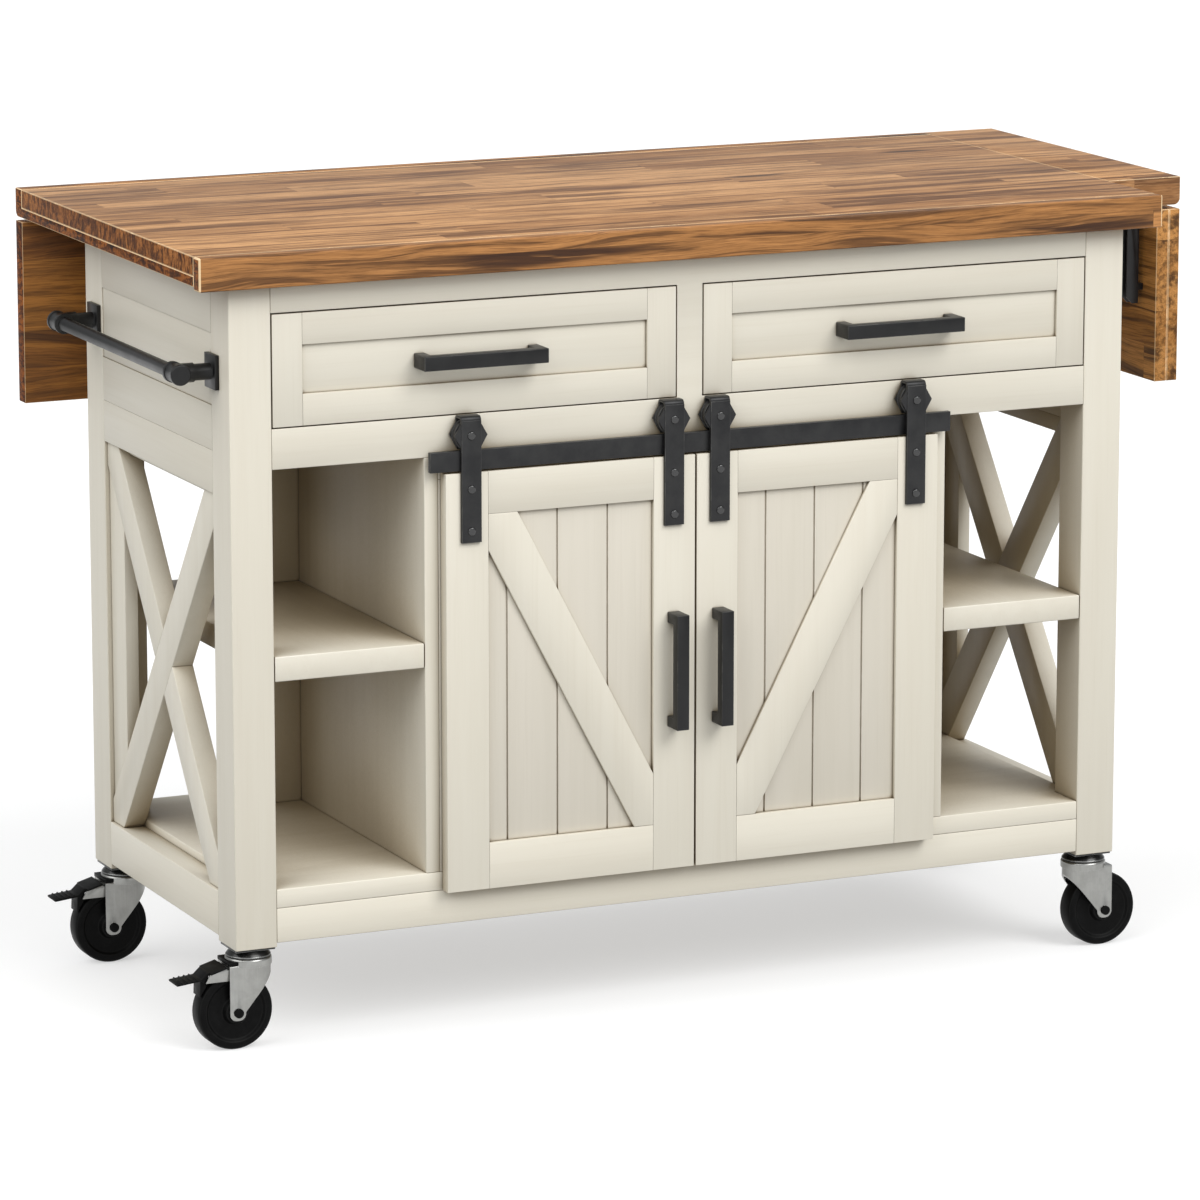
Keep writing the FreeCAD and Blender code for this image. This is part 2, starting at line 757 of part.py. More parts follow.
def make_runners():
    """Channels that hold the drawer guides, on the posts and on the middle partition."""
    runners = new_body("runners", "drawer_runners")
    back = "half_depth - panel_thick"

    def channel(root, sign):
        lip = f"{root} {sign} runner_deep"
        web = f"{root} {sign} runner_wall"
        top = "runner_low + runner_high"
        profile(runners, "XZ_Plane", back,
                [(root, "runner_low"), (lip, "runner_low"), (lip, "runner_low + runner_wall"),
                 (web, "runner_low + runner_wall"), (web, f"{top} - runner_wall"),
                 (lip, f"{top} - runner_wall"), (lip, top), (root, top)],
                "cabinet_depth - panel_thick - drawer_front_thick - gap")

    channel("-post_edge_x", "+")
    channel("-stile_wide / 2", "-")
    mirror(runners, "YZ_Plane")


def make_door(side, sign):
    """One barn door: framed, with grooved planks, one slanted brace, a pull and two hangers."""
    def at(place_text):
        return place_text if sign > 0 else f"-({place_text})"

    def span(inner, outer, low, high):
        if sign > 0:
            return rectangle(inner, outer, low, high)
        return rectangle(f"-({outer})", f"-({inner})", low, high)

    top_inner = "door_top - door_top_rail"
    foot_inner = "door_low + door_foot_rail"
    frame = new_body(side + "_frame", side + "_door_frame")
    for inner, outer, low, high in (
            ("door_inner", "door_inner + door_stile", "door_low", "door_top"),
            ("door_outer - door_stile", "door_outer", "door_low", "door_top"),
            ("door_inner + door_stile", "door_outer - door_stile", top_inner, "door_top"),
            ("door_inner + door_stile", "door_outer - door_stile", "door_low", foot_inner)):
        profile(frame, "XZ_Plane", "-door_back", span(inner, outer, low, high), "door_thick")

    panel = new_body(side + "_panel", side + "_door_panel")
    field = span("door_inner + door_stile", "door_outer - door_stile", foot_inner, top_inner)
    panel_back = "door_field_depth + door_panel_thick - door_front"
    profile(panel, "XZ_Plane", panel_back, field, "door_panel_thick")
    sketch = new_sketch(panel, "XZ_Plane", "door_field_depth + groove_deep - door_front")
    start = f"{side}_plank_start"
    for step in range(3):
        middle = f"{start} + {step} * plank_wide"
        polygon(sketch, span(f"{middle} - groove_wide / 2", f"{middle} + groove_wide / 2",
                             foot_inner, top_inner))
    pocket(panel, sketch, "groove_deep")

    brace = new_body(side + "_brace", side + "_door_brace")
    outer = "door_outer - door_stile"
    inner = "door_inner + door_stile"
    points = [(outer, top_inner), (f"{outer} - door_brace_cut", top_inner),
              (inner, f"{foot_inner} + door_brace_rise"), (inner, foot_inner),
              (f"{inner} + door_brace_cut", foot_inner),
              (outer, f"{top_inner} - door_brace_rise")]
    profile(brace, "XZ_Plane", "door_field_depth - door_front",
            [(at(across), up) for across, up in points], "door_field_depth")

    pull = new_body(side + "_handle", side + "_door_pull")
    base = "-door_front"
    sketch = new_sketch(pull, "YZ_Plane", f"{at('door_pull_at')} - pull_bar / 2")
    low = "door_pull_low"
    high = "door_pull_low + door_pull_long"
    polygon(sketch, [(base, low), (f"{base} - pull_out", low), (f"{base} - pull_out", high),
                     (base, high), (base, f"{high} - pull_bar"),
                     (f"{base} - pull_out + pull_bar", f"{high} - pull_bar"),
                     (f"{base} - pull_out + pull_bar", f"{low} + pull_bar"),
                     (base, f"{low} + pull_bar")])
    pad(pull, sketch, "pull_bar")

    hangers = new_body(side + "_hangers", side + "_door_hangers")
    for middle in (at("strap_inner"), at("strap_outer")):
        add_hanger(hangers, middle)
    for name, middle in (("inner", at("strap_inner")), ("outer", at("strap_outer"))):
        make_roller(f"{side}_{name}_roller", middle)


def add_hanger(body, middle):
    """A strap bent over the roller, with six-sided cheeks, the axle and three domed bolts."""
    edge = f"{middle} - strap_wide / 2"
    front = "-door_front - strap_thick"
    back = "strap_gap - door_front"
    top = "axle_up + flange_radius + slide_play"
    profile(body, "YZ_Plane", edge,
            [(front, "strap_low"), ("-door_front", "strap_low"), ("-door_front", top),
             (back, top), (back, "hook_foot"), (f"{back} + strap_thick", "hook_foot"),
             (f"{back} + strap_thick", f"{top} + strap_thick"), (front, f"{top} + strap_thick")],
            "strap_wide")
    for level, radius in ((top, "bend_round"),
                          (f"{top} + strap_thick", "bend_round + strap_thick")):
        round_edges(body, radius, lambda at, run: abs(run.x) > 0.9
                    and near(at.x, middle) and near(at.z, level))
    for level in ("-door_front", "strap_gap + strap_thick - door_front"):
        corners = []
        for turn in range(6):
            angle = math.radians(60 * turn)
            across_share = round(math.cos(angle), 6)
            up_share = round(math.sin(angle), 6)
            corners.append((f"{middle} + {across_share} * cheek_radius",
                            f"axle_up + {up_share} * cheek_radius"))
        profile(body, "XZ_Plane", level, corners, "strap_thick")
    cylinder(body, "XZ_Plane", "strap_gap + strap_thick - door_front", middle, "axle_up",
             "axle_radius", "strap_gap + 2 * strap_thick")
    for up in ("strap_bolt_first", "strap_bolt_second", "axle_up"):
        cylinder(body, "XZ_Plane", front, middle, up, "bolt_head_radius", "bolt_head_high")
    round_rims(body, "bolt_round", "bolt_head_radius",
               lambda at: near(at.y, f"{front} - bolt_head_high"))


def make_roller(label, middle):
    """A grooved roller that runs on the rail, revolved about its axle."""
    roller = new_body(label, label)
    place(roller, middle, "-track", "axle_up")
    sketch = new_sketch(roller, "YZ_Plane", "0")
    half = "roller_wide / 2"
    hole = "axle_radius + pin_play"
    lip = f"{half} - flange_wide"
    polygon(sketch, [(f"-{half}", hole), (half, hole), (half, "flange_radius"),
                     (lip, "flange_radius"), (lip, "roller_radius"),
                     (f"-({lip})", "roller_radius"), (f"-({lip})", "flange_radius"),
                     (f"-{half}", "flange_radius")])
    revolve(roller, sketch, (origin_plane(roller, "Y_Axis"), [""]))


def make_door_rail():
    rail = new_body("rail", "door_rail")
    profile(rail, "XZ_Plane", "rail_deep / 2 - track",
            rectangle("-rail_half", "rail_half", "rail_low", "rail_top"), "rail_deep")
    spacers = new_sketch(rail, "XZ_Plane", "-half_depth")
    for step in range(4):
        circle(spacers, f"{step} * spacer_step - 3 * spacer_step / 2", "rail_low + rail_high / 2",
               "spacer_radius")
    pad(rail, spacers, "track - rail_deep / 2 - half_depth")


def make_towel_bar():
    towel = new_body("towel", "towel_bar")
    face = "-half_width"
    bar_x = f"{face} - towel_out"
    for middle in ("towel_front", "towel_back"):
        board(towel, f"{face} - towel_plate_thick", face,
              f"{middle} - towel_plate_wide / 2", f"{middle} + towel_plate_wide / 2",
              "towel_up - towel_plate_high / 2", "towel_up + towel_plate_high / 2")
        cylinder(towel, "YZ_Plane", bar_x, middle, "towel_up", "towel_arm_radius",
                 "towel_out - towel_plate_thick / 2")
        cylinder(towel, "YZ_Plane", bar_x, middle, "towel_up", "towel_collar_radius",
                 "towel_collar_out")
        back_end = f"{middle} + towel_elbow_long / 2"
        cylinder(towel, "XZ_Plane", back_end, bar_x, "towel_up", "towel_body_radius",
                 "towel_elbow_long")
        for start in (back_end, f"{middle} - towel_elbow_long / 2 + towel_ring_long"):
            cylinder(towel, "XZ_Plane", start, bar_x, "towel_up", "towel_elbow_radius",
                     "towel_ring_long")
    cylinder(towel, "XZ_Plane", "towel_back", bar_x, "towel_up", "towel_bar_radius",
             "towel_back - towel_front")
    reach = "towel_elbow_long / 2"
    round_rims(towel, "towel_ring_round", "towel_elbow_radius",
               lambda at: near(at.y, f"towel_front - {reach}")
               or near(at.y, f"towel_back + {reach}"))


def add_mortises(body, plane_points):
    sketch = new_sketch(body, "XY_Plane", "leaf_top - tongue_sink - tongue_play")
    for points in plane_points:
        polygon(sketch, points)
    pocket(body, sketch, "tongue_sink + 2 * tongue_play")


def make_leaves():
    tongue_half = "tongue_thick / 2 + tongue_play"
    tongue_side = "hinge_wide / 2 - knuckle_side - knuckle_play + tongue_play"
    back = new_body("back_leaf", "back_leaf")
    board(back, "-worktop_half", "worktop_half", "worktop_back - back_leaf_thick", "worktop_back",
          "back_leaf_low", "leaf_top")
    holes = []
    for step in range(4):
        middle = f"{step} * back_hinge_step - back_hinge_at"
        holes.append(rectangle(f"{middle} - ({tongue_side})", f"{middle} + {tongue_side}",
                               f"worktop_back - pivot_inset - ({tongue_half})",
                               f"worktop_back - pivot_inset + {tongue_half}"))
    add_mortises(back, holes)

    right = new_body("right_leaf", "right_leaf")
    inner = "extension_end - right_leaf_thick"
    board(right, inner, "extension_end", "-extension_front", "worktop_back",
          "right_leaf_low", "leaf_top")
    seam = "extension_end - leaf_seam_inset"
    trench(right, "XZ_Plane", "leaf_seam_wide - extension_front",
           rectangle(f"{seam} - leaf_seam_wide / 2", f"{seam} + leaf_seam_wide / 2",
                     "right_leaf_low", "leaf_top"), "leaf_seam_wide")
    holes = []
    for step in range(2):
        middle = f"right_hinge_first + {step} * right_hinge_step"
        holes.append(rectangle(f"extension_end - pivot_inset - ({tongue_half})",
                               f"extension_end - pivot_inset + {tongue_half}",
                               f"{middle} - ({tongue_side})", f"{middle} + {tongue_side}"))
    add_mortises(right, holes)


def add_hinge_base(body):
    """Plate at the top of the slot, two knuckles and the pin, with the axis along X."""
    half = "hinge_wide / 2"
    profile(body, "YZ_Plane", f"-{half}",
            rectangle("-knuckle_radius", "pivot_inset - slide_play", "hinge_head - hinge_plate",
                      "hinge_head"), "hinge_wide")
    for start in (f"-{half}", f"{half} - knuckle_side"):
        cylinder(body, "YZ_Plane", start, "0", "0", "knuckle_radius", "knuckle_side")
        profile(body, "YZ_Plane", start,
                rectangle("-knuckle_radius", "knuckle_radius", "0", "hinge_head"), "knuckle_side")
    cylinder(body, "YZ_Plane", f"-{half}", "0", "0", "hinge_pin_radius", "hinge_wide")


def add_hinge_tongue(body):
    """Middle knuckle with the tongue that is let into the top of the leaf."""
    side = "hinge_wide / 2 - knuckle_side - knuckle_play"
    cylinder(body, "YZ_Plane", f"-({side})", "0", "0", "knuckle_radius", f"2 * ({side})")
    profile(body, "YZ_Plane", f"-({side})",
            rectangle("-tongue_thick / 2", "tongue_thick / 2",
                      "-pivot_inset - leaf_gap - tongue_sink", "0"), f"2 * ({side})")
    bore(body, "YZ_Plane", f"-({side})", "0", "0", "hinge_pin_radius + pin_play", f"2 * ({side})")


def make_hinges():
    bases = []
    for side, label in (("back", "back_leaf_hinges"), ("right", "right_leaf_hinges")):
        base = new_body(side + "_hinge_base")
        tongue = new_body(side + "_tongue", label)
        add_hinge_base(base)
        add_hinge_tongue(tongue)
        for body in (base, tongue):
            if side == "back":
                repeat(body, "X_Axis", "3 * back_hinge_step", 4)
                place(body, "-back_hinge_at", "worktop_back - pivot_inset", "pivot_up")
            else:
                repeat(body, "X_Axis", "right_hinge_step", 2)
                place(body, "extension_end - pivot_inset", "right_hinge_first + right_hinge_step",
                      "pivot_up", -90)
        bases.append(base)
    both = doc.addObject("Part::Compound", "hinge_bases")
    both.Links = bases
    keep(both, "leaf_hinge_bases")


def add_arm_foot(body, up):
    """Screwed plate under the top, two ears and the pin that an arm turns on."""
    seat = "edge_low" if up == "right_arm_up" else "slab_low"
    ceiling = f"{seat} - {up}"
    ear = "arm_side + arm_play"
    board(body, f"-({ear}) - ear_thick - foot_half / 2", f"{ear} + ear_thick + foot_half / 2",
          "-foot_half", "arm_half", f"{ceiling} - foot_plate", ceiling)
    for start in (f"-({ear}) - ear_thick", ear):
        profile(body, "YZ_Plane", start,
                rectangle("-arm_half", "arm_half", "-arm_half", ceiling), "ear_thick")
    cylinder(body, "YZ_Plane", f"-({ear}) - ear_thick", "0", "0", "ear_pin_radius",
             f"2 * ({ear} + ear_thick)")


def add_arm(body, reach):
    """Channel-shaped arm with a round head, and a rubber-faced rest near its free end."""
    half = "arm_half"
    cylinder(body, "YZ_Plane", "-arm_side", "0", "0", half, "2 * arm_side")
    profile(body, "YZ_Plane", "-arm_side",
            [(f"-{half}", "0"), (f"-{half}", f"{half} - arm_long"), ("0", "-arm_long"),
             (half, "-arm_long"), (half, "0")], "2 * arm_side")
    trench(body, "YZ_Plane", "arm_wall - arm_side",
           rectangle(f"-{half} - arm_wall", f"{half} - arm_wall", f"-arm_long - {half}",
                     f"-2 * {half}"), "2 * (arm_side - arm_wall)")
    board(body, "-arm_side", "arm_side", half, f"{reach} - arm_rest",
          f"2 * {half} - arm_long", f"3 * {half} - arm_long")
    bore(body, "YZ_Plane", "-arm_side", "0", "0", "ear_pin_radius + pin_play", "2 * arm_side")


def make_arms():
    feet = []
    for side in ("back", "right"):
        reach = side + "_arm_reach"
        foot = new_body(side + "_arm_foot")
        arm = new_body(side + "_arm", side + "_leaf_arms")
        add_arm_foot(foot, side + "_arm_up")
        add_arm(arm, reach)
        for body in (foot, arm):
            if side == "back":
                repeat(body, "X_Axis", "2 * back_arm_at", 2)
                place(body, "-back_arm_at", f"worktop_back - back_leaf_thick - {reach}",
                      "back_arm_up")
            else:
                repeat(body, "X_Axis", "right_arm_step", 2)
                place(body, f"extension_end - right_leaf_thick - {reach}",
                      "right_arm_first + right_arm_step", "right_arm_up", -90)
        feet.append(foot)
    both = doc.addObject("Part::Compound", "arm_feet")
    both.Links = feet
    keep(both, "leaf_arm_feet")


def make_foot_blocks():
    blocks = new_body("blocks", "foot_blocks")
    board(blocks, "-post_edge_x", "foot_block_wide - post_edge_x",
          "-post_edge_y - foot_block_long", "-post_edge_y",
          "bottom_rail_low - foot_block_high", "bottom_rail_low")
    mirror(blocks, "YZ_Plane")
    mirror(blocks, "XZ_Plane")


def make_caster_mounts():
    """Square plate under each post, with the upper race, its dome and the king pin below."""
    mounts = new_body("mounts", "caster_mounts")
    board(mounts, "caster_x - mount_half", "caster_x + mount_half", "caster_y - mount_half",
          "caster_y + mount_half", "post_low - mount_thick", "post_low")
    sketch = new_sketch(mounts, "XZ_Plane", "caster_y")
    sketch.setExpression("AttachmentOffset.Base.x", sized("caster_x"))
    polygon(sketch, [("0", "king_low"), ("king_head_radius", "king_low"),
                     ("king_head_radius", "king_low + king_head_high"),
                     ("king_radius", "king_low + king_head_high"), ("king_radius", "dome_low"),
                     ("dome_radius", "dome_low"), ("dome_radius", "dome_low + dome_lip"),
                     ("dome_top_radius", "post_low - mount_thick"),
                     ("0", "post_low - mount_thick")])
    revolve(mounts, sketch, (sketch, ["V_Axis"]))
    mirror(mounts, "YZ_Plane")
    mirror(mounts, "XZ_Plane")


def make_fork(name, braked):
    """A pressed fork: a round-nosed hood, hollowed out, with its cheeks cut to taper down."""
    fork = new_body(name + "_fork")
    heel = "-trail - fork_heel"
    high = "fork_top - fork_foot"
    inner = "fork_half - fork_thick"
    board(fork, heel, "fork_nose_at", "-fork_half", "fork_half", "fork_foot", "fork_top")
    cylinder(fork, "XY_Plane", "fork_foot", "fork_nose_at", "0", "fork_half", high)
    round_edges(fork, "fork_bend", lambda at, run: abs(run.x) > 0.9 and near(at.z, "fork_top"))
    hollow = new_sketch(fork, "XY_Plane", "fork_foot")
    polygon(hollow, rectangle(f"{heel} - overrun", "fork_nose_at", f"-({inner})", inner))
    pocket(fork, hollow, f"{high} - fork_thick")
    bore(fork, "XY_Plane", "fork_foot", "fork_nose_at", "0", inner, f"{high} - fork_thick")
    taper = new_sketch(fork, "XZ_Plane", "fork_half + overrun")
    polygon(taper, [("fork_heel - trail", "fork_foot - overrun"),
                    ("fork_heel - trail", "wheel_radius"),
                    ("fork_lead", "fork_top - fork_nose_high"),
                    ("fork_lead + overrun", "fork_top - fork_nose_high"),
                    ("fork_lead + overrun", "fork_foot - overrun")])
    pocket(fork, taper, "2 * (fork_half + overrun)")
    round_edges(fork, "fork_corner", lambda at, run: abs(run.y) > 0.9 and near(at.z, "fork_foot"))
    cylinder(fork, "XY_Plane", "fork_top - fork_thick", "0", "0", "race_radius",
             "fork_thick + race_high")
    round_rims(fork, "race_round", "race_radius", lambda at: near(at.z, "fork_top + race_high"))
    bore(fork, "XY_Plane", "fork_top - fork_thick", "0", "0", "king_radius + pin_play",
         "fork_thick + race_high")
    cylinder(fork, "XZ_Plane", "fork_half + nut_high", "-trail", "wheel_radius",
             "wheel_axle_radius", "2 * (fork_half + nut_high)")
    for level in ("fork_half + nut_high", "-fork_half"):
        cylinder(fork, "XZ_Plane", level, "-trail", "wheel_radius", "nut_radius", "nut_high")
    if braked:
        cylinder(fork, "XZ_Plane", "fork_half", "-brake_out", "brake_up", "brake_pin",
                 "2 * fork_half")
    return fork


def make_caster(name, x, y, turn, braked):
    """Fork, wheel and, on the left side, the brake of one caster, trailing towards -X."""
    fork = make_fork(name, braked)
    place(fork, x, y, "0", turn)
    if braked:
        lock = new_body(name + "_lock")
        board(lock, "-lock_end", "-lock_start", "-fork_half", "fork_half", "fork_top",
              "fork_top + lock_high")
        bore(lock, "XY_Plane", "fork_top", "0", "0", "race_radius + pin_play", "lock_high")
        place(lock, x, y)
        both = doc.addObject("Part::Compound", name + "_fork_and_lock")
        both.Links = [fork, lock]
        keep(both, name + "_caster_fork")
    else:
        keep(fork, name + "_caster_fork")

    wheel = new_body(name + "_wheel", name + "_wheel")
    place(wheel, f"{x} {'-' if turn == 0 else '+'} trail", y, "wheel_radius")
    sketch = new_sketch(wheel, "YZ_Plane", "0")
    half = "wheel_wide / 2"
    inner = "wheel_radius - wheel_rim"
    web = "wheel_web_half"
    shoulder = "wheel_round * (1 - 1 / sqrt(2))"
    right = [("wheel_hub_half", "wheel_axle_radius + pin_play"),
             ("wheel_hub_half", "wheel_hub_radius"), (web, "wheel_hub_radius + wheel_dish"),
             (web, f"{inner} - wheel_dish"), (half, inner), (half, "wheel_radius - wheel_round"),
             (f"{half} - {shoulder}", f"wheel_radius - {shoulder}"),
             (f"{half} - wheel_round", "wheel_radius")]
    left = [(f"-({across})", up) for across, up in reversed(right)]
    polygon(sketch, right + left)
    revolve(wheel, sketch, (origin_plane(wheel, "Y_Axis"), [""]))

    if braked:
        make_brake(name, x, y)


def make_brake(name, x, y):
    """A pedal on two steel arms that hang from the fork's pin, with a shoe over the tread."""
    inside = "fork_half - fork_thick - arm_play"
    arms = new_body(name + "_arms")
    for level in (inside, f"brake_arm_thick - ({inside})"):
        cylinder(arms, "XZ_Plane", level, "-brake_out", "brake_up", "brake_eye",
                 "brake_arm_thick")
        profile(arms, "XZ_Plane", level,
                [("-brake_out", "brake_up"), ("-brake_neck_out", "brake_neck_up"),
                 ("-cover_start", "cover_up - cover_thick"),
                 ("-ridge_reach", "brake_arm_end_up"), ("-brake_arm_reach", "brake_arm_low"),
                 ("-brake_out - brake_eye", "brake_arm_low"),
                 ("-brake_out - brake_eye", "brake_up")], "brake_arm_thick")
    bore(arms, "XZ_Plane", inside, "-brake_out", "brake_up", "brake_pin + pin_play",
         f"2 * ({inside})")

    pedal = new_body(name + "_pedal")
    profile(pedal, "XZ_Plane", "cover_half",
            [("-cover_start", "cover_up - cover_thick"), ("-cover_start", "cover_up"),
             ("-ridge_reach", "brake_arm_end_up + cover_thick"),
             ("-ridge_reach", "brake_arm_end_up")], "2 * cover_half")
    profile(pedal, "XZ_Plane", "pedal_half",
            [("-ridge_reach", "brake_arm_end_up"),
             ("-ridge_reach", "brake_arm_end_up + cover_thick"),
             ("-ridge_reach - cover_thick", "brake_arm_end_up + cover_thick"),
             ("-heel_reach", "heel_up"), ("-pedal_reach", "pedal_up"),
             ("-pedal_reach", "pedal_up - pedal_thick"), ("-heel_reach", "heel_up - pedal_thick"),
             ("-brake_arm_reach", "brake_arm_low")], "2 * pedal_half")
    for step in range(4):
        near_edge = f"heel_reach + {step + 1} * tread_rib_step - tread_rib_wide"
        level = (f"pedal_up + (heel_up - pedal_up) * (pedal_reach - ({near_edge}))"
                 " / (pedal_reach - heel_reach)")
        profile(pedal, "XZ_Plane", "pedal_half",
                rectangle(f"-({near_edge}) - tread_rib_wide", f"-({near_edge})",
                          f"{level} - pedal_thick", f"{level} + tread_rib_high"),
                "2 * pedal_half")
    # The shoe ends on a line square to the wheel's radius, a little off the tread
    lean_share = 0.829
    rise_share = 0.559
    reach = "wheel_radius + shoe_play"
    across = f"-trail - {lean_share} * ({reach})"
    up = f"wheel_radius + {rise_share} * ({reach})"
    profile(pedal, "XZ_Plane", "shoe_half",
            [(f"{across} + {rise_share} * shoe_thick", f"{up} + {lean_share} * shoe_thick"),
             (f"{across} - {rise_share} * shoe_thick", f"{up} - {lean_share} * shoe_thick"),
             ("-heel_reach", "heel_up - pedal_thick"), ("-ridge_reach", "brake_arm_end_up")],
            "2 * shoe_half")
    lever = doc.addObject("Part::Compound", name + "_lever")
    lever.Links = [arms, pedal]
    keep(lever, name + "_brake_lever")
    for body in (arms, pedal):
        place(body, x, y)


make_worktop()
make_posts()
make_front_frame()
make_inside()
make_ends()
for side_name, side_sign in (("left", -1), ("right", 1)):
    make_drawer(side_name, side_sign)
    make_door(side_name, side_sign)
make_runners()
make_door_rail()
make_towel_bar()
make_leaves()
make_hinges()
make_arms()
make_foot_blocks()
make_caster_mounts()
for end_name, end_y in (("front", "-caster_y"), ("back", "caster_y")):
    make_caster(end_name + "_left", "-caster_x", end_y, 0, True)
    make_caster(end_name + "_right", "caster_x", end_y, 180, False)

doc.recompute()
failed = [item.Label for item in doc.Objects if {"Invalid", "Error"} & set(item.State)]
if failed:
    raise RuntimeError(f"failed features: {failed}")
for hollow, base in cuts:
    if not hollow.Shape.Volume < base.Shape.Volume:
        raise RuntimeError(f"{hollow.Name} cuts nothing")
os.makedirs("parts", exist_ok=True)
for piece in parts:
    if piece.Shape.isNull() or not piece.Shape.isValid():
        raise RuntimeError(f"{piece.Label} has no valid shape")
for piece in parts:
    piece.Shape.exportStep(f"parts/{piece.Label}.step")
print(len(parts), "parts")
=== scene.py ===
import math

import bmesh
import bpy
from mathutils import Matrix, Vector


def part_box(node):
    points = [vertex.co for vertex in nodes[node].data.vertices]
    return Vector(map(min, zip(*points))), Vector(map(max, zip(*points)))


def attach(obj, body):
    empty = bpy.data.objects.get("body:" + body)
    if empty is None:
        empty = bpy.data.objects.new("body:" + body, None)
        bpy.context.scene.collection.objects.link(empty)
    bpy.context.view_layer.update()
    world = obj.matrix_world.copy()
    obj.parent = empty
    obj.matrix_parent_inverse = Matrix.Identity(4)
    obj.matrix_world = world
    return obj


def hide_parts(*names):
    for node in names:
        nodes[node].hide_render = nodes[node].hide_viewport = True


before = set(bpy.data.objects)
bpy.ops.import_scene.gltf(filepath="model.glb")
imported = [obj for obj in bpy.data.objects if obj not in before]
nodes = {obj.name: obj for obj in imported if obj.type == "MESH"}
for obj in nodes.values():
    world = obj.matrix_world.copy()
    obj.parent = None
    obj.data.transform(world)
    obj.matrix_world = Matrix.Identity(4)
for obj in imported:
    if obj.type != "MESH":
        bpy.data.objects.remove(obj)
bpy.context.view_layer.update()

# The cabinet is a kit of sawn and planed boards: square posts, flat rails and thin panels, with
# lightly sanded edges, so every copy of a solid gets eased arrises. A copy also remembers which way
# its board runs and which faces are arrises or end grain, for the streaks, the wear and the painted
# highlights on the arrises.
ARRIS_ANGLE = math.radians(25)
FLAT_ANGLE = math.radians(1)
SMOOTH_ANGLE = math.radians(40)
END_FACE_COSINE = 0.9
CABINET_TO_ORIGIN = Vector((-0.03675, -0.0405, 0))


def loose_parts(shape):
    """The groups of joined vertices of a shape."""
    seen = set()
    for start in shape.verts:
        if start in seen:
            continue
        seen.add(start)
        part = [start]
        for vertex in part:
            for edge in vertex.link_edges:
                other = edge.other_vert(vertex)
                if other not in seen:
                    seen.add(other)
                    part.append(other)
        yield part


def from_middle(one, other):
    """A board's low and high corners in metres, from millimetres about the cabinet's middle."""
    spans = [sorted(span) for span in zip(one, other)]
    return tuple(Vector(corner) / 1000 + CABINET_TO_ORIGIN for corner in zip(*spans))


def dressed(node, body, material, arris=0.0012, name=None, axes=None, wanted=None,
            boards=None, reshape=None, second=None, second_where=None):
    """A copy of a solid, or of the boards it is made of, with eased edges and marked boards.

    arris is the width of the eased edge, in metres. axes names the axes along, across and
    through each board; without it they go by the board's own lengths. wanted picks some of the
    solid's loose parts by their middles. boards lists the low and high corners of boards that
    stand in for the solid. reshape moves each corner. second is a second material, for the faces
    whose middles second_where picks.
    """
    shape = bmesh.new()
    if boards:
        mesh = bpy.data.meshes.new(name or node + "_boards")
        for low, high in boards:
            for vertex in bmesh.ops.create_cube(shape, size=1)["verts"]:
                vertex.co = [low[axis] + (vertex.co[axis] + 0.5) * (high[axis] - low[axis])
                             for axis in range(3)]
    else:
        mesh = nodes[node].data.copy()
        mesh.materials.clear()
        shape.from_mesh(mesh)
        bmesh.ops.remove_doubles(shape, verts=shape.verts, dist=1e-5)
        bmesh.ops.dissolve_limit(shape, angle_limit=FLAT_ANGLE, verts=shape.verts,
                                 edges=shape.edges, delimit={"NORMAL"})
    if reshape:
        for vertex in shape.verts:
            vertex.co = reshape(vertex.co)
        shape.normal_update()
    if wanted:
        spare = []
        for part in loose_parts(shape):
            middle = sum((vertex.co for vertex in part), Vector()) / len(part)
            if not wanted(middle):
                spare.extend(part)
        bmesh.ops.delete(shape, geom=spare, context="VERTS")
    board = shape.verts.layers.float_vector.new("board")
    seed = shape.verts.layers.float.new("seed")
    edge_mark = shape.faces.layers.float.new("arris")
    end_mark = shape.faces.layers.float.new("end_grain")
    for count, part in enumerate(list(loose_parts(shape))):
        low = [min(vertex.co[axis] for vertex in part) for axis in range(3)]
        high = [max(vertex.co[axis] for vertex in part) for axis in range(3)]
        order = sorted(range(3), key=lambda axis: low[axis] - high[axis])
        if axes:
            order = ["XYZ".index(letter) for letter in axes]
        for vertex in part:
            vertex[board] = [vertex.co[axis] for axis in order]
            vertex[seed] = count
            for face in vertex.link_faces:
                face[end_mark] = float(abs(face.normal[order[0]]) > END_FACE_COSINE)
    sharp = [edge for edge in shape.edges
             if len(edge.link_faces) == 2 and edge.calc_face_angle(0) > ARRIS_ANGLE]
    eased = bmesh.ops.bevel(shape, geom=sharp, offset=arris, affect="EDGES", segments=2,
                            profile=0.5, material=-1, clamp_overlap=True)
    for face in eased["faces"]:
        face[edge_mark] = 1.0
    for face in shape.faces:
        face.smooth = True
        if second_where and second_where(face.calc_center_median()):
            face.material_index = 1
    shape.to_mesh(mesh)
    shape.free()
    mesh.set_sharp_from_angle(angle=SMOOTH_ANGLE)
    piece = bpy.data.objects.new(name or node + "_dressed", mesh)
    bpy.context.scene.collection.objects.link(piece)
    piece.data.materials.append(material)
    if second:
        piece.data.materials.append(second)
    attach(piece, body)
    if node:
        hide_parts(node)


def new_material(name):
    """An empty material with its tree and its Principled shader."""
    material = bpy.data.materials.new(name)
    material.use_nodes = True
    tree = material.node_tree
    shader = next(node for node in tree.nodes if node.type == "BSDF_PRINCIPLED")
    return material, tree, shader


